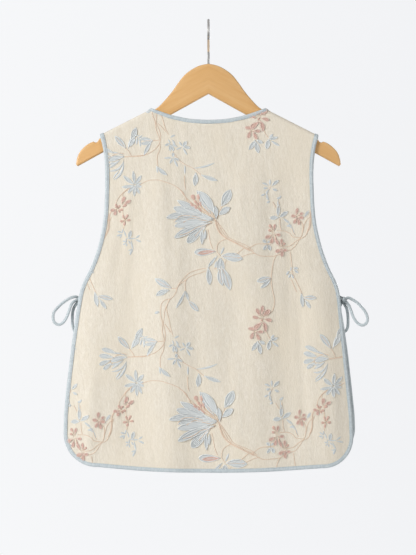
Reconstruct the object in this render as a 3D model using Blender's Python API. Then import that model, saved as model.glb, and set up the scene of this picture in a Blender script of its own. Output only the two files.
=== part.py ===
"""Embroidered waistcoat, open at both sides and tied there, hung on a wooden hanger.

Frame: +Z up, origin on the inside of the top of the hook, where a rail carries it.
The back of the waistcoat faces -Y and the two fronts face +Y, so -X is the wearer's left.
All numbers are millimetres; MM turns them into metres where a mesh is made.
Cloth is laid out in pattern coordinates (x, b). Below the shoulders b is the height. Above
them b runs on over the hanger's top edge to the shoulder seam, which lies on the plane y = 0.
"""
import math

import bmesh
import bpy
from mathutils import Matrix, Vector
from mathutils.geometry import delaunay_2d_cdt

MM = 0.001

# Cloth and its bindings
CLOTH_WALL = 2.0
TAPE_WALL = 0.9
SEAM_GAP = 0.3
BINDING_WIDTH = 6.6
RAW_EDGE = TAPE_WALL + SEAM_GAP
BINDING_HALF = CLOTH_WALL / 2 + SEAM_GAP + TAPE_WALL
CAVITY_HALF = CLOTH_WALL / 2 + SEAM_GAP

# Shoulder line: the middle of the cloth along the seam on top of the hanger
NECK_POINT = 92.4
NECK_HEIGHT = -145.6
SHOULDER_SLOPE = 0.508
CLOTH_OUT = 8.7
FOLD_RADIUS = 5.0
FOLD_FLAT = CLOTH_OUT - FOLD_RADIUS - SEAM_GAP / 2
FOLD_ARC = FOLD_RADIUS * math.pi / 2
BEND_EXTRA = FOLD_FLAT + FOLD_ARC - FOLD_RADIUS
FOLD_STEPS = 3
FOLD_ROWS = [0.0] + [FOLD_FLAT + FOLD_ARC * step / FOLD_STEPS for step in range(FOLD_STEPS + 1)]

# Point spacing, and how near a panel's edge its inner points may come as a share of MESH_STEP
MESH_STEP = 25.0
EDGE_STEP = 26.0
CURVE_STEP = 13.0
CURVE_PARTS = 12
EDGE_CLEAR = 0.45
SHOULDER_CLEAR = 0.5
SLOPE_STEP = 0.25
CORNER_STEPS = 6
CENTRE_CORNER_STEPS = 4

# Finished side edges of the back and of the fronts: height, left x, right x
BACK_SIDES = [
    (-212, -174.6, 177.0),
    (-240, -171.3, 173.8),
    (-286, -171.2, 174.6),
    (-330, -173.8, 177.9),
    (-369, -181.4, 186.2),
    (-403, -193.0, 197.8),
    (-436, -208.9, 213.1),
    (-459, -215.3, 218.5),
    (-500, -221.5, 222.5),
    (-554, -228.8, 228.3),
    (-620, -236.3, 235.0),
    (-653, -239.2, 238.3),
]
FRONT_SIDES = [
    (-212, -174.0, 178.0),
    (-240, -170.5, 175.2),
    (-286, -170.0, 174.6),
    (-330, -172.5, 177.0),
    (-369, -179.0, 184.5),
    (-403, -189.0, 195.5),
    (-436, -202.5, 210.5),
    (-459, -206.6, 216.8),
    (-500, -214.0, 224.5),
    (-554, -222.0, 232.3),
    (-620, -229.5, 239.8),
    (-653, -232.6, 243.1),
]
TIP_LEFT = -180.0
TIP_RIGHT = 182.4
TIP_LEAN = 0.247

# Rounded hem corners: centre x, centre height, radius
BACK_CORNER_LEFT = (-184.8, -683.0, 55.0)
BACK_CORNER_RIGHT = (189.7, -690.0, 50.0)
FRONT_CORNER_LEFT = (-183.6, -683.0, 50.0)
FRONT_CORNER_RIGHT = (192.0, -676.0, 52.0)

BACK_HEM = [(-100, -744.5), (0, -747), (100, -745.3)]
BACK_NECK = [(64, -155.2), (48.4, -158.9), (30, -162.3), (0, -164)]
BACK_NECK_LEAN = 1.18

# Fronts: neck scoop from the shoulder to the top of the centre edge, for the left side mirrored
FRONT_NECK = [(86, -178), (74, -205), (54, -229), (30, -244), (15, -249.5)]
FRONT_NECK_LEAN = 0.25
CENTRE_TOP = (2.0, -263)
CENTRE_BOTTOM = (4.5, -700)
CENTRE_CORNER = (34.5, -700, 30.0)
FRONT_HEM = (110, -731.0)

# How far the middle of the cloth stands from the plane y = 0: height, at the side edge, in the middle
STAND_OUT = [
    (-190, 8.7, 8.7),
    (-235, 8.7, 9.0),
    (-330, 7.2, 12.5),
    (-400, 4.8, 15.0),
    (-459, 2.9, 17.0),
    (-510, 4.0, 18.5),
    (-620, 6.8, 20.5),
    (-760, 8.2, 22.0),
]
HALF_WIDTH = [(-190, 181), (-300, 173), (-400, 194), (-459, 217), (-560, 229), (-670, 240), (-760, 240)]

# Soft folds: x at its top, x at its foot, top height, foot height, half width, depth (+ stands out)
BACK_FOLDS = [
    (-80, -56, -200, -800, 28, 4.2),
    (-133, -116, -320, -760, 28, -4.0),
    (-193, -198, -440, -780, 23, 3.4),
    (-16, -14, -520, -900, 28, -1.6),
    (42, 44, -400, -660, 25, -2.6),
    (66, 76, -215, -780, 26, 1.6),
    (134, 130, -205, -780, 30, -4.0),
    (184, 206, -370, -800, 25, 3.4),
]
FRONT_FOLDS = [
    (-112, -122, -230, -620, 30, 3.5),
    (-60, -48, -300, -900, 26, -3.0),
    (-172, -180, -500, -900, 26, -2.5),
    (104, 118, -230, -600, 30, 3.5),
    (62, 56, -340, -900, 28, -3.0),
    (160, 178, -520, -900, 26, 2.5),
]
FOLD_FADE = 90.0

# Hanger: right half of its outline, top of the hump to the tip
HANGER_HALF_THICKNESS = 6.0
HANGER_ROUNDING = 2.8
ROUNDING_SEGMENTS = 2
CREST_STEP = 9.0
END_STEP = 7.0
HANGER_CREST = [
    (0, -70.7),
    (12, -72.8),
    (24.5, -78.2),
    (38.6, -88.3),
    (49.5, -101.5),
    (60.5, -117.0),
    (72.6, -131.5),
    (83.5, -142.6),
    (93.0, -148.6),
]
HANGER_SHOULDER_END = (180.5, -194.6)
HANGER_NOTCH = [(184.5, -200.6), (187.4, -201.2)]
HANGER_END = [
    (190.5, -199.6),
    (198.0, -202.8),
    (206.6, -209.3),
    (213.4, -217.0),
    (217.6, -226.5),
    (219.6, -237.5),
]
HANGER_TIP = (217.0, -240.4)
HANGER_APEX = (0, -120.4)

# Hook: one bent wire, its stem free to turn in a blind bore down the middle of the hanger
WIRE_RADIUS = 1.9
HOOK_RADIUS = 20.0
HOOK_CENTRE = WIRE_RADIUS - HOOK_RADIUS
HOOK_FRONT_ANGLE = -32
HOOK_BACK_ANGLE = 236
HOOK_STEP = 14
BORE_RADIUS = 2.4
BORE_FOOT = -99.0
BORE_OVERRUN = 10.0
BORE_SIDES = 20
STEM_FOOT = -97.5
HOOK_NECK = [(6.2, -41.6), (2.4, -46.6), (0.5, -51.8), (0, -57.5)]

# Side ties: a flattened tube of bias tape
TIE_RADIUS = 2.0
KNOT_RADII = (5.4, 4.3, 5.0)
KNOT_LEFT = (-213.2, 4.1, -462.0)
KNOT_RIGHT = (224.8, 1.6, -462.4)

BIG_LOOP_LEFT = [
    (-219.6, 3.6, -457.2),
    (-228.6, 2.6, -458.8),
    (-237.5, 1.4, -464.0),
    (-244.8, 0.6, -469.6),
    (-251.6, 0.0, -476.4),
    (-255.9, -0.4, -481.8),
    (-257.8, -0.6, -488.6),
    (-257.2, -0.6, -496.4),
    (-253.6, -0.4, -501.6),
    (-248.6, 0.0, -503.3),
    (-243.6, 0.4, -501.6),
    (-239.3, 0.8, -497.4),
    (-235.8, 1.2, -491.6),
    (-232.9, 1.6, -484.6),
    (-230.2, 2.2, -476.4),
    (-227.0, 3.0, -468.6),
    (-222.3, 3.8, -464.4),
]
SMALL_LOOP_LEFT = [
    (-218.0, 6.8, -467.2),
    (-221.6, 6.8, -471.2),
    (-224.6, 6.8, -477.6),
    (-226.2, 6.8, -485.6),
    (-226.4, 7.0, -494.0),
    (-226.2, 7.6, -501.6),
    (-225.2, 8.6, -508.4),
    (-223.0, 10.4, -514.6),
    (-219.0, 12.6, -518.6),
    (-214.6, 13.8, -518.0),
    (-212.2, 14.2, -512.0),
    (-211.4, 14.2, -502.0),
    (-211.0, 13.8, -491.0),
    (-211.2, 12.6, -481.0),
    (-211.8, 10.8, -471.8),
]
BACK_TAIL_LEFT = [
    (-208.0, 9.8, -467.8),
    (-205.4, 12.6, -475.0),
    (-203.2, 14.0, -485.0),
    (-201.8, 14.6, -496.0),
    (-201.4, 15.0, -508.0),
    (-202.2, 15.2, -520.0),
    (-203.2, 15.4, -530.0),
]
FRONT_TAIL_LEFT = [
    (-206.8, 10.2, -463.0),
    (-201.0, 12.4, -467.0),
    (-196.0, 13.4, -473.6),
    (-193.6, 14.6, -483.0),
    (-192.4, 15.4, -494.0),
    (-192.8, 15.8, -505.0),
    (-194.2, 16.0, -514.0),
]
BIG_LOOP_RIGHT = [
    (231.4, 1.2, -458.8),
    (238.0, 0.8, -461.2),
    (247.4, 0.4, -467.3),
    (253.9, 0.0, -473.9),
    (258.5, -0.4, -479.4),
    (262.2, -0.6, -486.0),
    (264.0, -0.8, -493.6),
    (262.4, -0.6, -500.2),
    (257.2, -0.4, -504.2),
    (251.6, 0.0, -503.4),
    (247.0, 0.4, -500.2),
    (243.2, 0.6, -495.4),
    (240.0, 0.8, -489.4),
    (237.6, 1.0, -482.7),
    (235.2, 1.2, -476.1),
    (232.0, 1.4, -469.6),
]
SMALL_LOOP_RIGHT = [
    (226.0, 4.4, -469.2),
    (229.0, 5.4, -474.6),
    (230.9, 6.2, -481.2),
    (231.9, 7.0, -488.6),
    (232.3, 7.8, -496.2),
    (232.2, 8.8, -503.2),
    (231.4, 10.0, -509.2),
    (228.6, 11.6, -514.2),
    (223.8, 13.4, -516.2),
    (219.6, 14.4, -512.8),
    (217.8, 14.6, -504.6),
    (217.4, 14.2, -494.0),
    (217.8, 13.0, -483.0),
    (219.2, 10.8, -473.6),
    (221.0, 8.4, -468.6),
]
BACK_TAIL_RIGHT = [
    (219.4, 7.8, -463.2),
    (214.2, 11.0, -467.8),
    (210.2, 13.2, -476.0),
    (208.0, 14.4, -487.0),
    (207.2, 15.0, -499.0),
    (207.8, 15.4, -511.0),
    (209.2, 15.6, -522.0),
]
FRONT_TAIL_RIGHT = [
    (219.0, 6.6, -457.8),
    (212.8, 9.6, -458.0),
    (206.0, 12.2, -461.8),
    (201.4, 14.0, -469.6),
    (199.2, 15.2, -480.0),
    (198.4, 15.8, -492.0),
    (199.0, 16.2, -503.0),
    (200.4, 16.4, -512.0),
]
CORD_STEP = 8.0


# ---- curves and tables -------------------------------------------------------------------

def smooth_step(value):
    value = min(max(value, 0.0), 1.0)
    return value * value * (3 - 2 * value)


def hermite(before, start, end, after, t):
    """Catmull-Rom value between start and end."""
    slope_in = (end - before) / 2
    slope_out = (after - start) / 2
    square = t * t
    cube = square * t
    return (
        (2 * cube - 3 * square + 1) * start
        + (cube - 2 * square + t) * slope_in
        + (3 * square - 2 * cube) * end
        + (cube - square) * slope_out
    )


def table_value(rows, column, height):
    """Smooth value of one column of a table whose first column is a falling height."""
    last = len(rows) - 1
    if height >= rows[0][0]:
        return rows[0][column]
    if height <= rows[last][0]:
        return rows[last][column]
    index = next(i for i in range(last) if rows[i + 1][0] <= height)
    t = (rows[index][0] - height) / (rows[index][0] - rows[index + 1][0])
    near = [rows[min(max(index + k, 0), last)][column] for k in (-1, 0, 1, 2)]
    return hermite(*near, t)


def smooth_line(points, step):
    """Points about a step apart on a smooth curve through the given points."""
    points = [Vector(point) for point in points]
    fine = []
    for index in range(len(points) - 1):
        before = points[max(index - 1, 0)]
        after = points[min(index + 2, len(points) - 1)]
        for part in range(CURVE_PARTS):
            t = part / CURVE_PARTS
            fine.append(hermite(before, points[index], points[index + 1], after, t))
    fine.append(points[-1])
    lengths = [0.0]
    for first, second in zip(fine, fine[1:]):
        lengths.append(lengths[-1] + (second - first).length)
    count = max(1, round(lengths[-1] / step))
    result = []
    place = 0
    for number in range(count + 1):
        target = lengths[-1] * number / count
        while place < len(fine) - 2 and lengths[place + 1] < target:
            place += 1
        t = (target - lengths[place]) / (lengths[place + 1] - lengths[place])
        result.append(fine[place].lerp(fine[place + 1], t))
    return result


def arc_points(centre_x, centre_height, radius, start, end, count):
    """Points on an arc, angles in degrees from +X, both ends included."""
    points = []
    for number in range(count + 1):
        angle = math.radians(start + (end - start) * number / count)
        points.append((centre_x + radius * math.cos(angle), centre_height + radius * math.sin(angle)))
    return points


# ---- the worn-over-the-hanger form of the cloth ----------------------------------------------

def ridge_height(x):
    return NECK_HEIGHT - SHOULDER_SLOPE * (abs(x) - NECK_POINT)


def fold_over(along):
    """Distance from the seam plane, and drop below the ridge, at a length along the cloth."""
    if along < FOLD_FLAT:
        return SEAM_GAP / 2 + along, 0.0
    if along < FOLD_FLAT + FOLD_ARC:
        angle = (along - FOLD_FLAT) / FOLD_RADIUS
        out = CLOTH_OUT - FOLD_RADIUS + FOLD_RADIUS * math.sin(angle)
        return out, FOLD_RADIUS * (1 - math.cos(angle))
    return CLOTH_OUT, along - BEND_EXTRA


def fold_depth(folds, x, height):
    depth = 0.0
    for top_x, foot_x, top, foot, half_width, size in folds:
        t = (top - height) / (top - foot)
        middle = top_x + (foot_x - top_x) * t
        fade = smooth_step((top - height) / FOLD_FADE) * smooth_step((height - foot) / FOLD_FADE)
        depth += size * fade * math.exp(-((x - middle) / half_width) ** 2)
    return depth


def stand_out(side, x, height):
    """How much further out than CLOTH_OUT the cloth hangs at a place."""
    half_width = table_value(HALF_WIDTH, 1, height)
    across = min(abs(x) / half_width, 1.0)
    edge = table_value(STAND_OUT, 1, height)
    middle = table_value(STAND_OUT, 2, height)
    folds = BACK_FOLDS if side < 0 else FRONT_FOLDS
    return edge + (middle - edge) * (1 - across ** 3) - CLOTH_OUT + fold_depth(folds, x, height)


def cloth_point(side, x, b):
    """Middle of the cloth. side is -1 for the back and +1 for the fronts."""
    along = ridge_height(x) + BEND_EXTRA - b
    out, drop = fold_over(along)
    height = ridge_height(x) - drop
    return Vector((x, side * (out + stand_out(side, x, height)), height))


def cloth_normal(side, x, b):
    across = cloth_point(side, x + SLOPE_STEP, b) - cloth_point(side, x - SLOPE_STEP, b)
    up = cloth_point(side, x, b + SLOPE_STEP) - cloth_point(side, x, b - SLOPE_STEP)
    return (across.cross(up) if side < 0 else up.cross(across)).normalized()


# ---- edges in pattern coordinates ------------------------------------------------------------

class Station:
    """A place on a finished edge, and the unit direction into the cloth from it."""

    def __init__(self, place, inward):
        self.place = place
        self.inward = inward

    def inset(self, distance):
        return self.place + self.inward * distance


def shoulder_crossing(end_x, lean, into):
    """Stations where an edge crosses the folded shoulder, from the seam outward.

    lean is the change of |x| for each millimetre of drop, and into is +1 where the cloth lies
    at larger |x| and -1 where it lies at smaller |x|.
    """
    sign = 1 if end_x > 0 else -1
    direction = Vector((sign * into, -SHOULDER_SLOPE * into)) / abs(into)
    stations = []
    for along in FOLD_ROWS:
        drop = fold_over(along)[1]
        x = end_x + sign * lean * drop
        place = Vector((x, ridge_height(x) + BEND_EXTRA - along))
        stations.append(Station(place, direction))
    return stations


def edge_stations(start, points, end):
    """Stations along a bound edge, walked with the cloth on the left."""
    line = [start[-1].place] + points + [end[-1].place]
    stations = []
    for index in range(1, len(line) - 1):
        heading = (line[index + 1] - line[index - 1]).normalized()
        stations.append(Station(line[index], Vector((-heading.y, heading.x))))
    return start + stations + list(reversed(end))


def mixed_line(pieces):
    """Join curve pieces, each with its own step, into one list without repeated ends."""
    line = []
    for points, step in pieces:
        stretch = smooth_line(points, step)
        line += stretch if not line else stretch[1:]
    return line


def side_points(rows, column):
    return [(row[column], row[0]) for row in rows]


def back_outer_stations():
    start = shoulder_crossing(TIP_LEFT, -TIP_LEAN, -1)
    end = shoulder_crossing(TIP_RIGHT, -TIP_LEAN, -1)
    left = [start[-1].place] + side_points(BACK_SIDES, 1)
    left_corner = arc_points(*BACK_CORNER_LEFT, 178, 272, CORNER_STEPS)
    right_corner = arc_points(*BACK_CORNER_RIGHT, 268, 362, CORNER_STEPS)
    right = list(reversed(side_points(BACK_SIDES, 2))) + [end[-1].place]
    line = mixed_line([
        (left, EDGE_STEP),
        ([left[-1], left_corner[0]], EDGE_STEP),
        (left_corner, CURVE_STEP),
        ([left_corner[-1]] + BACK_HEM + [right_corner[0]], EDGE_STEP),
        (right_corner, CURVE_STEP),
        ([right_corner[-1], right[0]], EDGE_STEP),
        (right, EDGE_STEP),
    ])
    return edge_stations(start, line[1:-1], end)


def back_neck_stations():
    start = shoulder_crossing(NECK_POINT, -BACK_NECK_LEAN, 1)
    end = shoulder_crossing(-NECK_POINT, -BACK_NECK_LEAN, 1)
    left_half = [(-x, height) for x, height in reversed(BACK_NECK[:-1])]
    points = [start[-1].place] + BACK_NECK + left_half + [end[-1].place]
    return edge_stations(start, smooth_line(points, CURVE_STEP)[1:-1], end)


def front_stations(hand):
    """Neck, centre, hem, side and armhole of one front. hand is -1 for the left, +1 for the right."""
    neck = shoulder_crossing(hand * NECK_POINT, -FRONT_NECK_LEAN, 1)
    tip = shoulder_crossing(TIP_RIGHT if hand > 0 else TIP_LEFT, -TIP_LEAN, -1)
    scoop = [neck[-1].place] + [(hand * x, height) for x, height in FRONT_NECK]
    scoop += [(hand * CENTRE_TOP[0], CENTRE_TOP[1])]
    centre = [(hand * x, height) for x, height in (CENTRE_TOP, CENTRE_BOTTOM)]
    corner = arc_points(*CENTRE_CORNER, 182, 270, CENTRE_CORNER_STEPS)
    centre_corner = [(hand * x, height) for x, height in corner]
    if hand > 0:
        side_corner = arc_points(*FRONT_CORNER_RIGHT, 270, 362, CORNER_STEPS)
    else:
        side_corner = arc_points(*FRONT_CORNER_LEFT, 270, 178, CORNER_STEPS)
    side = list(reversed(side_points(FRONT_SIDES, 2 if hand > 0 else 1))) + [tip[-1].place]
    line = mixed_line([
        (scoop, CURVE_STEP),
        (centre, EDGE_STEP),
        ([centre[-1], centre_corner[0]], CURVE_STEP),
        (centre_corner, CURVE_STEP),
        ([centre_corner[-1], (hand * FRONT_HEM[0], FRONT_HEM[1]), side_corner[0]], EDGE_STEP),
        (side_corner, CURVE_STEP),
        ([side_corner[-1], side[0]], EDGE_STEP),
        (side, EDGE_STEP),
    ])
    if hand > 0:
        return edge_stations(neck, line[1:-1], tip)
    return edge_stations(tip, list(reversed(line[1:-1])), neck)


# ---- objects -----------------------------------------------------------------------------------

def material(name, colour, roughness, metallic=0.0):
    made = bpy.data.materials.new(name)
    made.use_nodes = True
    shader = made.node_tree.nodes["Principled BSDF"]
    shader.inputs["Base Color"].default_value = (*colour, 1.0)
    shader.inputs["Roughness"].default_value = roughness
    shader.inputs["Metallic"].default_value = metallic
    return made


def add_object(name, data, finish):
    made = bpy.data.objects.new(name, data)
    bpy.context.scene.collection.objects.link(made)
    data.materials.append(finish)
    return made


def mesh_from(name, bm, smooth_angle):
    mesh = bpy.data.meshes.new(name)
    bm.to_mesh(mesh)
    bm.free()
    mesh.shade_smooth()
    mesh.set_sharp_from_angle(angle=math.radians(smooth_angle))
    return mesh


def inside_points(loop, clear, step, top):
    """A staggered lattice of points inside a loop, at least clear from its line."""
    low_x = min(p.x for p in loop)
    low_b = min(p.y for p in loop)
    high_x = max(p.x for p in loop)
    points = []
    row = 0
    b = low_b + step / 2
    while b < top:
        x = low_x + (step / 2 if row % 2 else step)
        while x < high_x:
            place = Vector((x, b))
            if inside(loop, place) and distance_to(loop, place) > clear:
                points.append(place)
            x += step
        row += 1
        b += step
    return points


def inside(loop, place):
    result = False
    for first, second in zip(loop, loop[1:] + loop[:1]):
        if (first.y > place.y) != (second.y > place.y):
            cross = first.x + (place.y - first.y) * (second.x - first.x) / (second.y - first.y)
            if cross > place.x:
                result = not result
    return result


def distance_to(loop, place):
    best = 1e9
    for first, second in zip(loop, loop[1:] + loop[:1]):
        run = second - first
        t = min(max((place - first).dot(run) / max(run.length_squared, 1e-9), 0.0), 1.0)
        best = min(best, (place - first - run * t).length)
    return best


class Pattern:
    """Points and lines of one cloth piece, joined into a triangle mesh."""

    def __init__(self):
        self.points = []
        self.lines = []

    def add(self, place):
        for index, known in enumerate(self.points):
            if (known - place).length < 0.01:
                return index
        self.points.append(place)
        return len(self.points) - 1

    def draw(self, places):
        ids = [self.add(place) for place in places]
        self.lines += [pair for pair in zip(ids, ids[1:]) if pair[0] != pair[1]]


def seam_row(from_place, to_place):
    """Points along one row of the folded shoulder."""
    count = max(1, round((to_place - from_place).length / MESH_STEP))
    return [from_place.lerp(to_place, number / count) for number in range(count + 1)]


def cloth_panel(name, side, edges, finish):
    """A panel from its bound edges, given in order with the cloth on the left of each.

    The panel's raw edge is inset from the finished edge, and a second line under the binding's
    flange keeps the two pieces parallel there. A shoulder seam joins each edge to the next one.
    """
    pattern = Pattern()
    outline = []
    for edge in edges:
        raw = [station.inset(RAW_EDGE) for station in edge]
        flange = [station.inset(BINDING_WIDTH) for station in edge]
        pattern.draw(raw)
        pattern.draw(flange)
        for pair in zip(raw, flange):
            pattern.draw(pair)
        outline += flange
    for index, edge in enumerate(edges):
        following = edges[(index + 1) % len(edges)]
        for row in range(len(FOLD_ROWS)):
            leaving = edge[-1 - row].inset(BINDING_WIDTH)
            arriving = following[row].inset(BINDING_WIDTH)
            pattern.draw(seam_row(leaving, arriving))
    for place in inside_points(outline, MESH_STEP * EDGE_CLEAR, MESH_STEP, NECK_HEIGHT):
        along = ridge_height(place.x) + BEND_EXTRA - place.y
        if along > FOLD_ROWS[-1] + MESH_STEP * SHOULDER_CLEAR:
            pattern.add(place)
    result = delaunay_2d_cdt(pattern.points, pattern.lines, [], 1, 1e-4)
    bm = bmesh.new()
    verts = [bm.verts.new(cloth_point(side, p.x, p.y) * MM) for p in result[0]]
    for face in result[2]:
        corners = [verts[i] for i in face]
        bm.faces.new(corners if side < 0 else list(reversed(corners)))
    bm.normal_update()
    made = add_object(name, mesh_from(name, bm, 40), finish)
    wall = made.modifiers.new("wall", "SOLIDIFY")
    wall.thickness = CLOTH_WALL * MM
    wall.offset = 0.0
    wall.use_even_offset = True
    return made


def binding(name, side, stations, finish):
    """Bias tape folded round a raw edge: a U-shaped channel along the stations."""
    profile = [
        (BINDING_WIDTH, BINDING_HALF),
        (0.0, BINDING_HALF),
        (0.0, -BINDING_HALF),
        (BINDING_WIDTH, -BINDING_HALF),
        (BINDING_WIDTH, -CAVITY_HALF),
        (TAPE_WALL, -CAVITY_HALF),
        (TAPE_WALL, CAVITY_HALF),
        (BINDING_WIDTH, CAVITY_HALF),
    ]
    bm = bmesh.new()
    rings = []
    for station in stations:
        flange = station.inset(BINDING_WIDTH)
        raw = station.inset(RAW_EDGE)
        outer_normal = cloth_normal(side, raw.x, raw.y)
        flange_normal = cloth_normal(side, flange.x, flange.y)
        raw_point = cloth_point(side, raw.x, raw.y)
        flange_point = cloth_point(side, flange.x, flange.y)
        ring = []
        for inset, rise in profile:
            t = (inset - RAW_EDGE) / (BINDING_WIDTH - RAW_EDGE)
            middle = raw_point + (flange_point - raw_point) * t
            normal = outer_normal.lerp(flange_normal, min(max(t, 0.0), 1.0))
            ring.append(bm.verts.new((middle + normal * rise) * MM))
        rings.append(ring)
    size = len(profile)
    for first, second in zip(rings, rings[1:]):
        for index in range(size):
            following = (index + 1) % size
            bm.faces.new((first[index], first[following], second[following], second[index]))
    for ring in (rings[0], rings[-1]):
        bm.faces.new((ring[0], ring[1], ring[6], ring[7]))
        bm.faces.new((ring[1], ring[2], ring[5], ring[6]))
        bm.faces.new((ring[2], ring[3], ring[4], ring[5]))
    bmesh.ops.recalc_face_normals(bm, faces=bm.faces)
    return add_object(name, mesh_from(name, bm, 40), finish)


def hanger_outline():
    crest = [tuple(p) for p in smooth_line(HANGER_CREST, CREST_STEP)]
    end = [tuple(p) for p in smooth_line(HANGER_END, END_STEP)]
    right = crest + [HANGER_SHOULDER_END] + HANGER_NOTCH + end + [HANGER_TIP]
    left = [(-x, height) for x, height in reversed(right[1:])]
    return right + [HANGER_APEX] + left


def hanger_body(finish):
    bm = bmesh.new()
    outline = hanger_outline()
    front = [bm.verts.new(Vector((x, -HANGER_HALF_THICKNESS, z)) * MM) for x, z in outline]
    face = bm.faces.new(front)
    grown = bmesh.ops.extrude_face_region(bm, geom=[face])
    moved = [item for item in grown["geom"] if isinstance(item, bmesh.types.BMVert)]
    bmesh.ops.translate(bm, verts=moved, vec=(0, 2 * HANGER_HALF_THICKNESS * MM, 0))
    bmesh.ops.recalc_face_normals(bm, faces=bm.faces)
    weight = bm.edges.layers.float.new("bevel_weight_edge")
    for edge in bm.edges:
        if abs(edge.verts[0].co.y - edge.verts[1].co.y) < 0.001 * MM:
            edge[weight] = 1.0
    body = add_object("hanger_body", mesh_from("hanger_body", bm, 35), finish)
    rounding = body.modifiers.new("rounded_edges", "BEVEL")
    rounding.limit_method = "WEIGHT"
    rounding.width = HANGER_ROUNDING * MM
    rounding.segments = ROUNDING_SEGMENTS
    bm = bmesh.new()
    top = HANGER_CREST[0][1] + BORE_OVERRUN
    bmesh.ops.create_cone(
        bm, cap_ends=True, segments=BORE_SIDES, radius1=BORE_RADIUS * MM, radius2=BORE_RADIUS * MM,
        depth=(top - BORE_FOOT) * MM, matrix=Matrix.Translation((0, 0, (top + BORE_FOOT) / 2 * MM)),
    )
    cutter = add_object("bore_cutter", mesh_from("bore_cutter", bm, 35), finish)
    cutter.hide_render = True
    cutter.display_type = "WIRE"
    bore = body.modifiers.new("stem_bore", "BOOLEAN")
    bore.operation = "DIFFERENCE"
    bore.solver = "EXACT"
    bore.object = cutter
    return body


def tube(name, points, radius, resolution, finish):
    """A round tube with closed ends along a line of points."""
    curve = bpy.data.curves.new(name, "CURVE")
    curve.dimensions = "3D"
    curve.bevel_depth = radius * MM
    curve.bevel_resolution = resolution
    curve.use_fill_caps = True
    curve.render_resolution_u = 0
    line = curve.splines.new("POLY")
    line.points.add(len(points) - 1)
    for target, place in zip(line.points, points):
        target.co = (*(Vector(place) * MM), 1.0)
    return add_object(name, curve, finish)


def hanger_hook(finish):
    points = []
    angle = HOOK_FRONT_ANGLE
    while angle <= HOOK_BACK_ANGLE:
        turn = math.radians(angle)
        out = HOOK_RADIUS * math.cos(turn)
        points.append((0, -out, HOOK_CENTRE + HOOK_RADIUS * math.sin(turn)))
        angle += HOOK_STEP
    points += [(0, y, height) for y, height in HOOK_NECK]
    points.append((0, 0, STEM_FOOT))
    return tube("hanger_hook", points, WIRE_RADIUS, 3, finish)


def knot(name, centre, finish):
    bm = bmesh.new()
    bmesh.ops.create_icosphere(bm, subdivisions=2, radius=1.0)
    bmesh.ops.scale(bm, vec=Vector(KNOT_RADII) * MM, verts=bm.verts)
    bmesh.ops.translate(bm, vec=Vector(centre) * MM, verts=bm.verts)
    return add_object(name, mesh_from(name, bm, 60), finish)


def build():
    for old in list(bpy.data.objects):
        bpy.data.objects.remove(old, do_unlink=True)
    cloth = material("cream_cloth", (0.80, 0.74, 0.64), 0.8)
    tape = material("blue_bias_tape", (0.47, 0.55, 0.60), 0.6)
    wood = material("beech_wood", (0.76, 0.47, 0.22), 0.45)
    steel = material("plated_steel", (0.55, 0.55, 0.56), 0.3, 1.0)
    back_outer = back_outer_stations()
    back_neck = back_neck_stations()
    cloth_panel("back_panel", -1, [back_outer, back_neck], cloth)
    binding("back_edge_binding", -1, back_outer, tape)
    binding("back_neck_binding", -1, back_neck, tape)
    for hand, label in ((-1, "left"), (1, "right")):
        edge = front_stations(hand)
        cloth_panel("front_panel_" + label, 1, [edge], cloth)
        binding("front_binding_" + label, 1, edge, tape)
    hanger_body(wood)
    hanger_hook(steel)
    knot("knot_left", KNOT_LEFT, tape)
    knot("knot_right", KNOT_RIGHT, tape)
    tapes = {
        "back_tie_loop_left": BIG_LOOP_LEFT,
        "front_tie_loop_left": SMALL_LOOP_LEFT,
        "back_tie_tail_left": BACK_TAIL_LEFT,
        "front_tie_tail_left": FRONT_TAIL_LEFT,
        "back_tie_loop_right": BIG_LOOP_RIGHT,
        "front_tie_loop_right": SMALL_LOOP_RIGHT,
        "back_tie_tail_right": BACK_TAIL_RIGHT,
        "front_tie_tail_right": FRONT_TAIL_RIGHT,
    }
    for name, route in tapes.items():
        tube(name, smooth_line(route, CORD_STEP), TIE_RADIUS, 2, tape)


build()
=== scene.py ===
import math

import bmesh
import bpy
import numpy as np
from mathutils import Matrix, Vector


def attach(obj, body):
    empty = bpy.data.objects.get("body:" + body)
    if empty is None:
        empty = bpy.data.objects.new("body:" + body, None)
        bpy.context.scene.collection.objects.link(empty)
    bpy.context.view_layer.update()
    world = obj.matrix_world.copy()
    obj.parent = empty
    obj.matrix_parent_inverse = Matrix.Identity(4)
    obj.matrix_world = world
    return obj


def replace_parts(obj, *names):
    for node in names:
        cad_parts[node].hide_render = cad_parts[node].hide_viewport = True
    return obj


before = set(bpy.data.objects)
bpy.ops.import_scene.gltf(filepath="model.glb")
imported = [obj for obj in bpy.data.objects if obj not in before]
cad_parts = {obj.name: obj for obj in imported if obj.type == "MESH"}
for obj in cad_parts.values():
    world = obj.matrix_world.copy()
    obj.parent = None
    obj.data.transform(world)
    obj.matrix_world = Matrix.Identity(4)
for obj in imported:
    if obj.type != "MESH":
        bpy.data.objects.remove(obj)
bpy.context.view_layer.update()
mm = 0.001
print("frame loaded")


# Meshes and objects

def addObject(name, data):
    made = bpy.data.objects.new(name, data)
    bpy.context.scene.collection.objects.link(made)
    return made


def addPiece(name, mesh, finish, body="waistcoat"):
    made = addObject(name, mesh)
    mesh.materials.clear()
    mesh.materials.append(finish)
    mesh.shade_smooth()
    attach(made, body)
    return made


def bakeMesh(name, bm):
    mesh = bpy.data.meshes.new(name)
    bm.to_mesh(mesh)
    bm.free()
    return mesh


def primitive(name, create, **settings):
    bm = bmesh.new()
    create(bm, **settings)
    return bakeMesh(name, bm)


def getValues(items, key, width=1, kind=np.float32):
    values = np.empty(len(items) * width, kind)
    items.foreach_get(key, values)
    return values.reshape(-1, width) if width > 1 else values


def setValues(items, key, values, kind=np.float32):
    items.foreach_set(key, np.ascontiguousarray(values, kind).ravel())


# Camera: level with the middle of the picture, looking along +Y

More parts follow.
